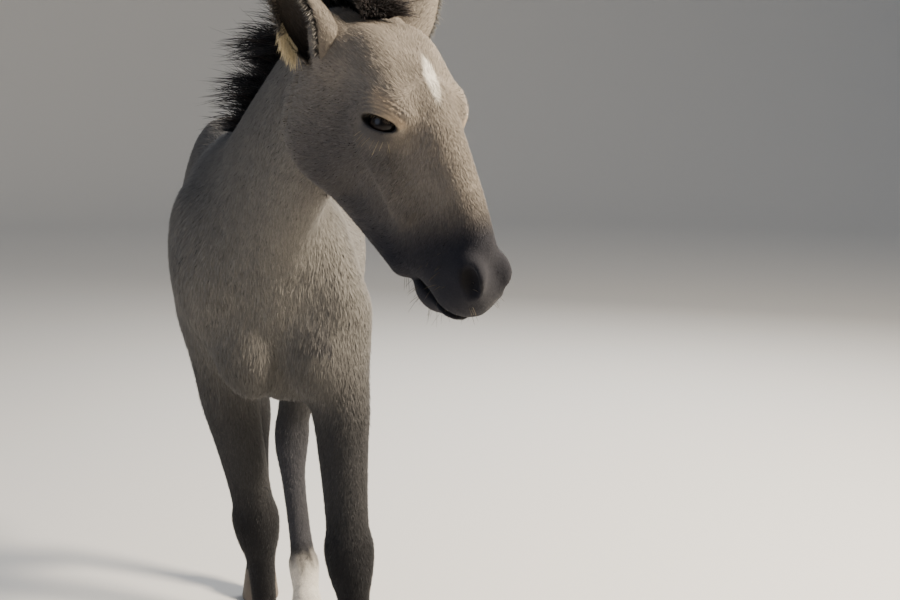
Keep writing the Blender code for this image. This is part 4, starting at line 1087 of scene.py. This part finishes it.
def length_factor(points):
    """How much shorter the coat is on the muzzle, around the eyes and on the feet."""
    own = HEAD.inward(points)
    muzzle = smooth(own[:, 2], 0.30, 0.38) * on_head(points)
    lids = (1 - smooth(np.linalg.norm(around_eye(points), axis=1), 0.030, 0.044)) * on_head(points)
    feet = 1 - smooth(points[:, 2], 0.10, 0.40)
    return (1 - 0.62 * muzzle) * (1 - 0.60 * lids) * (1 - 0.30 * feet)


def facing_of(points, normals, chance):
    """The way each tuft faces: as the ground does, a little turned in patches and at random."""
    patches = np.column_stack([waves(points, 0.016, seed) for seed in (21, 22, 23)])
    facing = normals + 0.07 * patches + chance.normal(0, 0.18, normals.shape)
    return facing / np.linalg.norm(facing, axis=1)[:, None]


def coat(name, ground, count, weight, size, seed):
    """One region of the coat."""
    chance = np.random.default_rng(seed)
    roots, start, bends, normals, lengths, halves, places, points = tuft_rows(
        ground, chance, count, weight, size)
    factor = length_factor(points)
    strands = bent_strands(roots, start, bends, normals, lengths * factor,
                           halves * np.sqrt(factor), TUFT_FLATNESS, 1)
    tint = 1 + 0.07 * waves(points, 0.014, 31) + chance.normal(0, 0.15, count)
    colours = marking(points) * tint.clip(0.6, 1.5)[:, None]
    mesh = hair_mesh(name, strands, 1, colours, places, 1.12, 0.90, facing_of(points, normals, chance))
    return show(name, mesh, HAIR)


def region_weights(ground):
    """For each region of the coat, how densely each triangle of the skin carries tufts."""
    middles = ground.middles
    past = head_part(middles)
    head = (past > 0) & in_head_box(middles)
    walls = (np.abs(past) > 0.7 * SEAM_OVERLAP) & (np.abs(past) < 1.3 * SEAM_OVERLAP)
    walls &= np.abs(ground.facings @ (np.array(HEAD_CUT_AHEAD) @ HEAD.axes)) > 0.93
    ahead = (middles - np.array(NECK_CUT)) @ unit(np.array(NECK_CUT_AHEAD)) > 0
    neck = ~head & ahead & (middles[:, 2] > HEAD_LOW[2])
    legs = middles[:, 2] < LEG_COAT_TOP
    fore = middles[:, 1] < -0.03
    torso = ~(head | neck | legs)
    left = TRUNK.inward(middles)[:, 0] > 0
    own, both = head_places(middles)
    bare = near(both, NOSTRIL, (0.020, 0.020, 0.032))
    above, across, out = around_eye(middles).T
    lids = 1 - smooth(np.hypot(across / EYE_SLIT[1], above / EYE_SLIT[0]), 1.1, 1.6)
    folds = near(np.column_stack((above, across, out)), (0.022, 0, 0.012), (0.022, 0.040, 0.030))
    cover = (1 - 0.9 * np.maximum(bare, lids * (out > 0))) * (1 - 0.55 * folds)
    cover = cover * (1 + 0.8 * smooth(own[:, 2], 0.05, 0.30)) * ~walls
    return {"coat_head_left": (head & (own[:, 0] > 0)) * cover,
            "coat_head_right": (head & (own[:, 0] <= 0)) * cover,
            "coat_neck": (neck & ~walls) * 1.0, "coat_torso_left": (torso & left) * 1.0,
            "coat_torso_right": (torso & ~left) * 1.0, "coat_forelegs": (legs & fore) * 1.0,
            "coat_hind_legs": (legs & ~fore) * 1.0}


ground = Ground(skin_mesh)
weights = region_weights(ground)
coats = []
for index, (name, (count, length, half, rise)) in enumerate(COATS.items()):
    area = float((ground.areas * weights[name]).sum())
    number = count
    coats.append(coat(name, ground, number, weights[name], (length, half, rise), 20 + index))
    print(name, number, "tufts on", round(area, 3), "square metres")
print("coat done,", round(time.time() - started, 1), "s")

# %% [markdown]
# ## Ears
# Thin shells, cupped towards the front and out, furred outside, with pale hair along the lower rim.

# %%
def ear_surface(side, rows, columns):
    """The middle of the ear's wall, as rows of places from the root to the tip."""
    way = np.array(EAR_WAY) * (side, 1, 1)
    way /= np.linalg.norm(way)
    opening = np.array(EAR_OPENING) * (side, 1, 1)
    opening -= opening.dot(way) * way
    opening /= np.linalg.norm(opening)
    broad = np.cross(way, opening)
    outline = smooth_rows(np.array(EAR_OUTLINE, float), 4)
    surface = []
    for row in range(rows):
        part = row / (rows - 1)
        half, depth, angle = (np.interp(part, outline[:, 0], outline[:, i]) for i in (1, 2, 3))
        middle = np.array(EAR_ROOT) * (side, 1, 1) + way * EAR_LENGTH * part
        middle += np.array((-side * 0.012, 0.006, 0)) * part * part
        ring = []
        for column in range(columns):
            turn = math.radians(angle) * (2 * column / (columns - 1) - 1)
            ring.append(middle + broad * half * math.sin(turn) - opening * depth * math.cos(turn))
        surface.append(HEAD.outward(np.array(ring)))
    return np.array(surface)


EAR_WALL = 0.0040
EAR_ROWS, EAR_COLUMNS = 30, 27
EAR_TUFTS, EAR_TUFT_SIZE = 12000, (0.0075, 0.0008, 0.34)
LONG_RINGS, LONG_FLATNESS = 4, 0.5  # rings along a long hair, and its thickness for its half-width

# Fringes of an ear: name, how many hairs, whether on the outer rim, from where to where up it, their
# way up the ear, out of its opening and upward, their lengths and their colour
FRINGES = (("_pale_tuft", 420, True, (0.16, 0.40), (-0.2, 0.45, -0.8), (0.012, 0.026), CREAM),
           ("_outer_fringe", 420, True, (0.30, 0.95), (0.7, 0.6, -0.1), (0.007, 0.014), FACE_COLOUR),
           ("_inner_fringe", 520, False, (0.12, 0.95), (0.6, 0.7, 0.0), (0.009, 0.018), BODY_COLOUR))
FRINGE_HALF = 0.0006  # half-width of its hairs


class Ear:
    """One ear's surface and its own directions, in the body's own places."""

    def __init__(self, side):
        self.side = side
        self.name = "left_ear" if side > 0 else "right_ear"
        self.surface = ear_surface(side, EAR_ROWS, EAR_COLUMNS)
        self.root = HEAD.outward(np.array(EAR_ROOT) * (side, 1, 1))
        self.way = unit(np.array(EAR_WAY) * (side, 1, 1)) @ HEAD.axes
        opening = np.array(EAR_OPENING) * (side, 1, 1) @ HEAD.axes
        self.opening = unit(opening - opening.dot(self.way) * self.way)

    def part(self, points):
        """How far up the ear each place is, from 0 at its root to 1 at its tip."""
        return (points - self.root) @ self.way / EAR_LENGTH

    def inside(self, points, normals):
        """Whether each place of the wall faces into the cup."""
        axis = self.root + np.outer(self.part(points) * EAR_LENGTH, self.way) + 0.010 * self.opening
        return ((axis - points) * normals).sum(1) > 0

    def marking(self, points, normals):
        colour = np.tile(FACE_COLOUR, (len(points), 1))
        colour = mixed(colour, EAR_INSIDE, 0.85 * self.inside(points, normals))
        return mixed(colour, KNEE_COLOUR, 0.8 * smooth(self.part(points), 0.80, 1.0))

    def lie(self, points, normals):
        """The coat of an ear runs up to its tip."""
        ways = self.way - (normals @ self.way)[:, None] * normals
        return ways / (np.linalg.norm(ways, axis=1)[:, None] + 1e-9)


def ear_skin(ear):
    """The wall of an ear, as thick as in life."""
    faces = []
    for row in range(EAR_ROWS - 1):
        for column in range(EAR_COLUMNS - 1):
            first = row * EAR_COLUMNS + column
            faces.append((first, first + 1, first + EAR_COLUMNS + 1, first + EAR_COLUMNS))
    mesh = bpy.data.meshes.new(ear.name + "_wall")
    mesh.from_pydata(ear.surface.reshape(-1, 3).tolist(), [], faces)
    wall = bpy.data.objects.new(ear.name + "_wall", mesh)
    bpy.context.scene.collection.objects.link(wall)
    thick = wall.modifiers.new("Solidify", "SOLIDIFY")
    thick.thickness = EAR_WALL
    thick.offset = 0
    solid = bpy.data.meshes.new_from_object(wall.evaluated_get(bpy.context.evaluated_depsgraph_get()))
    bpy.data.objects.remove(wall)
    face_outward(solid)
    solid.polygons.foreach_set("use_smooth", np.ones(len(solid.polygons), bool))
    set_colours(solid, ear.marking(points_of(solid), normals_of(solid)) * 0.85)
    skin = show(ear.name + "_skin", solid, SKIN)
    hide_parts(ear.name)
    unwrap(skin)
    return skin


def ear_coat(ear, soil, chance):
    """Short tufts on both faces of the ear."""
    roots, start, bends, flats, lengths, halves, places, at = tuft_rows(
        soil, chance, EAR_TUFTS, np.ones(len(soil.areas)), EAR_TUFT_SIZE, ear.lie)
    lengths = lengths * (1 - 0.45 * smooth(ear.part(at), 0.6, 1.0)) * (1 + 0.4 * ear.inside(at, flats))
    tint = ear.marking(at, flats) * chance.normal(1, 0.12, EAR_TUFTS).clip(0.7, 1.4)[:, None]
    strands = bent_strands(roots, start, bends, flats, lengths, halves, TUFT_FLATNESS, 1)
    mesh = hair_mesh(ear.name + "_coat", strands, 1, tint, places, 1.12, 0.90, facing_of(at, flats, chance))
    return show(ear.name + "_coat", mesh, HAIR)


def ear_fringe(ear, soil, chance, fringe):
    """Long hair along one rim of the cup, over a stretch from its root."""
    label, count, outer, reach, ways, length, colour = fringe
    part = chance.uniform(*reach, count) * (EAR_ROWS - 1)
    row = np.minimum(part.astype(int), EAR_ROWS - 2)
    rest = (part - row)[:, None]
    edges = ear.surface[:, [0, -1]]
    away = np.array((1, 0, -0.6)) * (ear.side, 1, 1) @ HEAD.axes
    first = int((edges[4, 1] - edges[4, 0]) @ away > 0)
    column = first if outer else 1 - first
    rim = edges[row, column] * (1 - rest) + edges[row + 1, column] * rest
    inward = ear.surface[row, EAR_COLUMNS // 2] - rim
    inward /= np.linalg.norm(inward, axis=1)[:, None]
    roots = rim + inward * chance.uniform(0.0, 0.006, count)[:, None]
    starts = np.array(ways) @ np.array((ear.way, ear.opening, (0, 0, 1)))
    starts = starts + chance.normal(0, 0.13, (count, 3))
    starts /= np.linalg.norm(starts, axis=1)[:, None]
    bends = np.array((0, 0, -0.30)) + chance.normal(0, 0.08, (count, 3))
    lengths = chance.uniform(*length, count)
    flats = np.tile(ear.opening, (count, 1))
    tint = colour * chance.normal(1, 0.12, count).clip(0.6, 1.4)[:, None]
    halves = np.full(count, FRINGE_HALF)
    strands = bent_strands(roots, starts, bends, flats, lengths, halves, LONG_FLATNESS, LONG_RINGS)
    name = ear.name + label
    mesh = hair_mesh(name, strands, LONG_RINGS, tint, soil.nearest_map(roots), 1.1, 0.85)
    return show(name, mesh, HAIR)


def make_ear(side):
    """An ear with its short coat, the pale tuft at its lower rim and the fringe around its cup."""
    ear = Ear(side)
    skin = ear_skin(ear)
    soil = Ground(skin.data)
    chance = np.random.default_rng(60 + side)
    ear_coat(ear, soil, chance)
    for fringe in FRINGES:
        ear_fringe(ear, soil, chance, fringe)
    return skin


ears = [make_ear(side) for side in (1, -1)]
print("ears:", [ear.name for ear in ears], round(time.time() - started, 1), "s")

# %% [markdown]
# ## Eyes
# A wet, nearly black eye: dark brown iris, a wide level pupil and a clear coat over both.

# %%
def eye_material():
    """A wet surface in the stored colours."""
    material = bpy.data.materials.new("wet_eye")
    material.use_nodes = True
    tree = material.node_tree
    shader = tree.nodes["Principled BSDF"]
    stored = add_node(tree, "ShaderNodeAttribute", {"attribute_name": "coat_colour"})
    tree.links.new(stored.outputs["Color"], shader.inputs["Base Color"])
    shader.inputs["Roughness"].default_value = 0.25
    shader.inputs["Specular IOR Level"].default_value = 0.05
    shader.inputs["Coat Weight"].default_value = 0.35
    shader.inputs["Coat Roughness"].default_value = 0.03
    return material


def make_eye(side, material):
    """An eyeball, coloured by the angle from the way it looks."""
    name = "left_eye" if side > 0 else "right_eye"
    middle, look, slit = eye_frame(side)
    work = bmesh.new()
    bmesh.ops.create_uvsphere(work, u_segments=64, v_segments=40, radius=EYE_RADIUS - 0.0004)
    turn = Matrix((np.cross(slit, look), slit, look)).transposed().to_4x4()
    bmesh.ops.transform(work, matrix=Matrix.Translation(middle) @ turn, verts=work.verts[:])
    bmesh.ops.triangulate(work, faces=work.faces[:])
    mesh = bpy.data.meshes.new(name + "_ball")
    work.to_mesh(mesh)
    work.free()
    mesh.polygons.foreach_set("use_smooth", np.ones(len(mesh.polygons), bool))
    away = (points_of(mesh) - middle) / EYE_RADIUS
    across, level = away @ np.cross(slit, look), away @ slit
    iris = 1 - smooth(np.hypot(across, level), 0.52, 0.66)
    pupil = 1 - smooth(np.hypot(across / 0.20, level / 0.36), 0.85, 1.1)
    colours = np.tile(linear("0f0b0b"), (len(away), 1))
    colours = mixed(colours, linear("150d0a"), iris)
    colours = mixed(colours, linear("040407"), pupil)
    set_colours(mesh, colours)
    eye = show(name + "_ball", mesh, material)
    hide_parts(name)
    return eye


wet = eye_material()
eyes = [make_eye(side, wet) for side in (1, -1)]
print("eyes:", [eye.name for eye in eyes])

# %% [markdown]
# ## Mane, forelock and tail
# Fine hair from the same lines as the solids' locks, shorter at the withers, where it is brown.
# The mane stands up from the crest in clumps, and falls a little to the colt's right.

# %%
def crest_line(count):
    """Places along the crest from the withers to the poll, with the way up from each."""
    stations = smooth_rows(np.array(NECK, float), 8)
    crest = []
    for here, after in zip(stations, stations[1:]):
        run = (after - here)[:3]
        run /= np.linalg.norm(run)
        up = np.array(NECK_UP, float)
        up -= up.dot(run) * run
        up /= np.linalg.norm(up)
        crest.append(np.concatenate((here[:3] + up * here[4], up)))
    withers = TRUNK.outward(np.array((0, -0.255, 1.045)))
    poll = HEAD.outward(np.array((0, 0.020, 0.000)))
    rise = np.array((0, 0.3, 1)) / np.linalg.norm((0, 0.3, 1))
    crest = [np.concatenate((withers, rise))] + crest[5:-3] + [np.concatenate((poll, rise))]
    crest = np.array(crest)
    steps = np.linalg.norm(np.diff(crest[:, :3], axis=0), axis=1)
    lengths = np.concatenate(([0], np.cumsum(steps)))
    at = np.linspace(0, lengths[-1], count)
    return np.column_stack([np.interp(at, lengths, column) for column in crest.T])


def long_hair(name, replaced, roots, ways, bends, flats, lengths, halves, colours):
    """Fine hair in place of one node's locks."""
    strands = bent_strands(roots, ways, bends, flats, lengths, halves, LONG_FLATNESS, LONG_RINGS)
    mesh = hair_mesh(name, strands, LONG_RINGS, colours, ground.nearest_map(roots), 1.20, 0.80)
    piece = show(name, mesh, LONG_HAIR)
    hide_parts(replaced)
    return piece


MANE_BLACK = linear("101014")
MANE_BROWN = linear("4a3b31")
MANE_COUNT, FORELOCK_COUNT, TAIL_COUNT = 7000, 1100, 3000
MANE_CLUMPS = 90
CREST_STEPS = 120


def crest_on_skin():
    """The line of the crest, each place moved up or down onto the skin."""
    line = crest_line(CREST_STEPS)
    for row in line:
        start = row[:3] + 0.12 * row[3:]
        found, place, normal, face = skin.ray_cast(Vector(start), Vector(-row[3:]), distance=0.20)
        if found:
            row[:3] = place
    return line


def crest_places(at):
    """Places on the crest at parts of its length, with the way up, along it and to the right."""
    line = crest_on_skin()
    step = at * (CREST_STEPS - 2)
    low = step.astype(int)
    rest = (step - low)[:, None]
    rows = line[low] * (1 - rest) + line[low + 1] * rest
    runs = line[low + 1, :3] - line[low, :3]
    runs /= np.linalg.norm(runs, axis=1)[:, None]
    rights = np.cross(runs, rows[:, 3:])
    rights /= np.linalg.norm(rights, axis=1)[:, None]
    return rows[:, :3], rows[:, 3:], runs, rights


def make_mane():
    """The mane: fine hair in clumps that share their lean, longest towards the poll."""
    chance = np.random.default_rng(81)
    count = MANE_COUNT
    at = np.sort(chance.random(count))
    places, ups, runs, rights = crest_places(at)
    clump = (at * MANE_CLUMPS).astype(int)
    lean = chance.uniform(-0.45, 0.75, MANE_CLUMPS)[clump] + chance.normal(0, 0.22, count)
    back = chance.uniform(-0.50, 0.12, MANE_CLUMPS)[clump] + chance.normal(0, 0.14, count)
    curl = chance.uniform(-0.10, 0.55, MANE_CLUMPS)[clump]
    roots = places - 0.004 * ups + chance.uniform(-0.013, 0.013, count)[:, None] * rights
    ways = ups + lean[:, None] * rights - back[:, None] * runs
    ways /= np.linalg.norm(ways, axis=1)[:, None]
    bends = (0.10 + 0.45 * lean)[:, None] * rights - 0.28 * ups + (0.25 - curl)[:, None] * runs
    bends += chance.normal(0, 0.13, (count, 3))
    lengths = chance.uniform(0.038, 0.092, count) * (0.42 + 0.58 * smooth(at, 0.0, 0.65))
    lengths *= 1 - 0.20 * smooth(at, 0.85, 1.0)
    colours = mixed(np.tile(MANE_BLACK, (count, 1)), MANE_BROWN, 0.85 * (1 - smooth(at, 0.02, 0.16)))
    colours = mixed(colours, MANE_BROWN, 0.30 * (chance.random(count) > 0.88))
    return long_hair("mane_hair", "mane", roots, ways, bends, rights, lengths,
                     chance.uniform(0.0004, 0.0010, count), colours)


def make_forelock():
    """The forelock: a short fan of hair between the ears."""
    chance = np.random.default_rng(82)
    count = FORELOCK_COUNT
    side = chance.uniform(-1, 1, count)
    own_roots = np.column_stack((0.027 * side, np.full(count, 0.014), chance.uniform(-0.006, 0.014, count)))
    own_ways = np.column_stack((0.60 * side, np.ones(count), chance.uniform(-0.5, 0.3, count)))
    own_ways /= np.linalg.norm(own_ways, axis=1)[:, None]
    own_bends = np.column_stack((0.25 * side, np.full(count, -0.30), np.full(count, 0.18)))
    own_bends += chance.normal(0, 0.09, (count, 3))
    colours = mixed(np.tile(MANE_BLACK, (count, 1)), BROWN, 0.10 * chance.random(count))
    flats = np.tile(HEAD.axes[2], (count, 1))
    return long_hair("forelock_hair", "forelock", HEAD.outward(own_roots), own_ways @ HEAD.axes,
                     own_bends @ HEAD.axes, flats, chance.uniform(0.026, 0.052, count),
                     chance.uniform(0.0005, 0.0011, count), colours)


def make_tail():
    """The tail: hair all around the dock, falling and spreading a little."""
    chance = np.random.default_rng(83)
    path = smooth_rows(np.array(TAIL_CORE, float), 12)
    count = TAIL_COUNT
    at = chance.random(count) * (len(path) - 2)
    low = at.astype(int)
    rest = (at - low)[:, None]
    rows = path[low] * (1 - rest) + path[low + 1] * rest
    runs = path[low + 1, :3] - path[low, :3]
    runs /= np.linalg.norm(runs, axis=1)[:, None]
    around = chance.uniform(0, 2 * math.pi, count)
    outward = np.column_stack((np.sin(around), 0.9 * np.cos(around), np.full(count, 0.1)))
    outward /= np.linalg.norm(outward, axis=1)[:, None]
    roots = rows[:, :3] + 0.55 * rows[:, 3:4] * outward
    ways = runs + np.array((0, 0, -0.30)) + 0.12 * outward + chance.normal(0, 0.07, (count, 3))
    ways /= np.linalg.norm(ways, axis=1)[:, None]
    bends = np.array((0, 0, -0.40)) - 0.12 * outward + chance.normal(0, 0.06, (count, 3))
    lengths = chance.uniform(0.100, 0.180, count)
    brown = 0.6 * (1 - smooth(at / len(path), 0.10, 0.35)) * chance.random(count)
    colours = mixed(np.tile(MANE_BLACK, (count, 1)), MANE_BROWN, brown)
    return long_hair("tail_hair", "tail", roots, ways, bends, outward, lengths,
                     chance.uniform(0.0008, 0.0016, count), colours)


locks = [make_mane(), make_forelock(), make_tail()]
print("long hair:", [piece.name for piece in locks], round(time.time() - started, 1), "s")

# %% [markdown]
# ## Lashes and whiskers
# Long lashes on the upper lid, a few feelers below the eye, and whiskers on lips and chin.

# %%
LASHES, FEELERS, WHISKERS = 34, 9, 46  # on each side


def surface_under(own_place):
    """The skin's nearest point and normal to a place in the head's frame."""
    world = HEAD.outward(np.array(own_place, float))
    found = skin.closest_point_on_mesh(Vector(world))
    return np.array(found[1]), np.array(found[2])


def make_whiskers():
    """Lashes, feelers and whiskers of both sides, as one piece."""
    chance = np.random.default_rng(90)
    roots, ways, bends, lengths, flats, halves, pale = [], [], [], [], [], [], []

    def grow(place, way, bend, length, half, most_pale):
        roots.append(place)
        ways.append(unit(way))
        bends.append(bend)
        lengths.append(length)
        halves.append(half)
        pale.append(most_pale * chance.uniform(0.4, 1.0))
        flats.append(unit(np.cross(way, np.array((0.3, 0.5, 0.8)))))

    for side in (1, -1):
        middle, look, slit = eye_frame(side)
        above = np.cross(slit, look) * side
        for step in range(LASHES):  # on the upper lid
            part = step / (LASHES - 1)
            across = (part - 0.5) * 1.65 * EYE_SLIT[1]
            rise = EYE_SLIT[0] * math.sqrt(max(0.0, 1 - (2 * (part - 0.5) * 0.82) ** 2))
            out = math.sqrt(LID_RADIUS ** 2 - across ** 2 - rise ** 2)
            place = middle + slit * across + above * (rise + 0.0012) + look * (out - 0.0015)
            way = 0.75 * look - 0.45 * above + 0.5 * (part - 0.4) * slit + chance.normal(0, 0.08, 3)
            grow(place, way, -0.15 * above + 0.15 * look, chance.uniform(0.007, 0.012), 0.00026, 0.10)
        for step in range(FEELERS):  # under the eye
            across = (step / (FEELERS - 1) - 0.5) * 0.05
            place = middle + slit * across - above * 0.022 + look * 0.014
            found = skin.closest_point_on_mesh(Vector(place))
            grow(np.array(found[1]), np.array(found[2]) - 0.4 * above + chance.normal(0, 0.2, 3),
                 -0.25 * above, chance.uniform(0.012, 0.024), 0.00019, 0.75)
        for step in range(WHISKERS):  # on the upper lip, and on the lower lip with the chin
            low, high = ((-0.058, -0.030), (-0.118, -0.096))[step % 2]
            own = (side * chance.uniform(0.004, 0.040), chance.uniform(low, high),
                   chance.uniform(0.345, 0.425))
            place, normal = surface_under(own)
            grow(place, normal + 0.25 * HEAD.axes[2] + chance.normal(0, 0.15, 3),
                 np.array((0, 0, -0.2)), chance.uniform(0.008, 0.024), 0.00028, 0.20)
    count = len(roots)
    roots = np.array(roots) - 0.001 * np.array(ways)
    strands = bent_strands(roots, np.array(ways), np.array(bends), np.array(flats), np.array(lengths),
                           np.array(halves), 0.9, 5)
    colours = mixed(np.tile(linear("1c1918"), (count, 1)), CREAM, np.array(pale))
    mesh = hair_mesh("whiskers", strands, 5, colours, ground.nearest_map(roots), 1.2, 0.8)
    return show("whiskers", mesh, LONG_HAIR)


whiskers = make_whiskers()
print("whiskers:", len(whiskers.data.polygons), "triangles")

# %% [markdown]
# ## Hooves
# Horn with fine growth rings, a little flared, set on the ground.

# %%
def hoof_frame(joints):
    """The middle of a coronet, and its forward, side and upward directions."""
    coronet = Vector(joints[4])
    outward = math.copysign(1, joints[0][0])
    ahead = Vector((outward * math.sin(TOES_OUT), -math.cos(TOES_OUT), 0))
    side = Vector((-ahead.y, ahead.x, 0))
    tilted = (ahead + Vector((0, 0, CORONET_SLOPE))).normalized()
    return coronet, ahead, side, tilted.cross(side)


def horn_material():
    """Dull brown horn, mottled and faintly rough."""
    material = bpy.data.materials.new("hoof_horn")
    material.use_nodes = True
    tree = material.node_tree
    shader = tree.nodes["Principled BSDF"]
    place = add_node(tree, "ShaderNodeTexCoord")
    noise = add_node(tree, "ShaderNodeTexNoise", {"Scale": 60.0, "Detail": 5.0},
                     {"Vector": place.outputs["Object"]})
    colour = add_node(tree, "ShaderNodeMix", {"data_type": "RGBA"}, {"Factor": noise.outputs["Fac"]})
    colour.inputs[6].default_value = (*linear("4a423b"), 1)
    colour.inputs[7].default_value = (*linear("6d6357"), 1)
    tree.links.new(colour.outputs[2], shader.inputs["Base Color"])
    shader.inputs["Roughness"].default_value = 0.55
    bumps = add_node(tree, "ShaderNodeBump", {"Strength": 0.3, "Distance": 0.0005},
                     {"Height": noise.outputs["Fac"]})
    tree.links.new(bumps.outputs["Normal"], shader.inputs["Normal"])
    return material


def make_hoof(name, joints, material):
    """A hoof of the solid's size, with a rounded rim and rings."""
    coronet, ahead, side, up = hoof_frame(joints)
    coronet, ahead, side = np.array(coronet), np.array(ahead), np.array(side)
    segments, levels = 64, 18
    rings = []
    for level in range(levels + 1):
        part = level / levels
        half, toe, heel = (a + (b - a) * part for a, b in zip(CORONET, SOLE))
        ripple = 1 + 0.006 * math.sin(part * 34) * (1 - part) - 0.03 * max(0, (part - 0.93) / 0.07)
        ring = []
        for segment in range(segments):
            turn = 2 * math.pi * segment / segments
            reach = math.cos(turn) * (toe if math.cos(turn) > 0 else heel)
            place = coronet + ripple * (side * math.sin(turn) * half + ahead * reach)
            place = place + ahead * SOLE_SHIFT * part
            top = coronet[2] + reach * CORONET_SLOPE + 0.001
            place[2] = max(0.0, top * (1 - part) if part < 1 else 0.0)
            ring.append(place)
        rings.append(ring)
    points = np.array(rings).reshape(-1, 3)
    faces = []
    for level in range(levels):
        for segment in range(segments):
            a, b = level * segments + segment, level * segments + (segment + 1) % segments
            faces += [(a, b, b + segments), (a, b + segments, a + segments)]
    centre_top, centre_sole = len(points), len(points) + 1
    points = np.vstack((points, points[:segments].mean(0), points[-segments:].mean(0)))
    last = levels * segments
    for segment in range(segments):
        after = (segment + 1) % segments
        faces += [(after, segment, centre_top), (last + segment, last + after, centre_sole)]
    mesh = mesh_from_arrays(name + "_horn", points, faces)
    face_outward(mesh)
    hoof = show(name + "_horn", mesh, material)
    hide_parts(name)
    return hoof


horn = horn_material()
hooves = [make_hoof(name + "_hoof", joints, horn) for name, joints in LEGS.items()]
print("hooves:", [hoof.name for hoof in hooves])

# %% [markdown]
# ## Into the frame
# Every piece so far is in the body's own places. One shift brings them to the frame's.

# %%
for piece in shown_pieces():
    if "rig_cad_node" not in piece:
        piece.data.transform(Matrix.Translation(CENTRING))
        piece.data.update()
print("moved by", CENTRING)

# %% [markdown]
# ## Floor, light and camera
# A plain pale floor, soft studio light, most of it from the camera's right, and the photo's viewpoint.

# %%
def add_backdrop(reach, bend, height):
    """A round floor whose rim curves up, so that the same pale ground lies behind every view."""
    profile = [(0.0, 0.0), (reach, 0.0)]
    for step in range(1, 9):
        turn = math.radians(90 * step / 8)
        profile.append((reach + bend * math.sin(turn), bend - bend * math.cos(turn)))
    profile.append((reach + bend, height))
    segments = 96
    points, faces = [], []
    for radius, rise in profile:
        for segment in range(segments):
            turn = 2 * math.pi * segment / segments
            points.append((radius * math.cos(turn), radius * math.sin(turn), rise))
    for ring in range(len(profile) - 1):
        for segment in range(segments):
            first, after = ring * segments + segment, ring * segments + (segment + 1) % segments
            faces.append((first, after, after + segments, first + segments))
    mesh = bpy.data.meshes.new("backdrop")
    mesh.from_pydata(points, [], faces)
    mesh.validate()
    mesh.polygons.foreach_set("use_smooth", np.ones(len(mesh.polygons), bool))
    backdrop = bpy.data.objects.new("backdrop", mesh)
    bpy.context.scene.collection.objects.link(backdrop)
    material = bpy.data.materials.new("pale_paper")
    material.use_nodes = True
    shader = material.node_tree.nodes["Principled BSDF"]
    shader.inputs["Base Color"].default_value = (*linear("d6d4d0"), 1)
    shader.inputs["Roughness"].default_value = 0.95
    shader.inputs["Specular IOR Level"].default_value = 0.1
    mesh.materials.append(material)


def add_light(name, place, target, size, watts, colour):
    """A round soft lamp that shines at a target."""
    lamp = bpy.data.lights.new(name, "AREA")
    lamp.shape = "DISK"
    lamp.size = size
    lamp.energy = watts
    lamp.color = linear(colour)
    thing = bpy.data.objects.new(name, lamp)
    bpy.context.scene.collection.objects.link(thing)
    thing.location = place
    aim = Vector(target) - Vector(place)
    thing.rotation_euler = aim.to_track_quat("-Z", "Y").to_euler()


def add_camera(place, turn, drop, lens):
    """A camera that looks along +Y, turned to the right and dropped below level, in degrees."""
    camera = bpy.data.objects.new("camera", bpy.data.cameras.new("camera"))
    bpy.context.scene.collection.objects.link(camera)
    camera.data.lens = lens
    camera.data.sensor_width = 36
    camera.location = place
    turn, drop = math.radians(turn), math.radians(drop)
    look = Vector((math.sin(turn) * math.cos(drop), math.cos(turn) * math.cos(drop), -math.sin(drop)))
    camera.rotation_euler = look.to_track_quat("-Z", "Y").to_euler()
    bpy.context.scene.camera = camera


add_backdrop(8.0, 3.0, 4.2)
world = bpy.data.worlds.new("studio")
bpy.context.scene.world = world
world.use_nodes = True
world.node_tree.nodes["Background"].inputs["Color"].default_value = (*linear("dce5f2"), 1)
world.node_tree.nodes["Background"].inputs["Strength"].default_value = 0.34
add_light("key", (3.0, -0.9, 3.0), (0.05, -0.4, 0.95), 1.0, 560, "fff0da")
add_light("fill", (-2.8, -2.4, 1.8), (0.0, -0.2, 0.8), 2.5, 30, "d6e2ff")
add_light("rim", (1.5, 2.8, 2.6), (0.0, 0.0, 0.9), 1.6, 110, "ffffff")
add_camera((-0.1119, -2.6545, 1.17), 8.0, 9.28, 60)
print("stage ready,", round(time.time() - started, 1), "s")
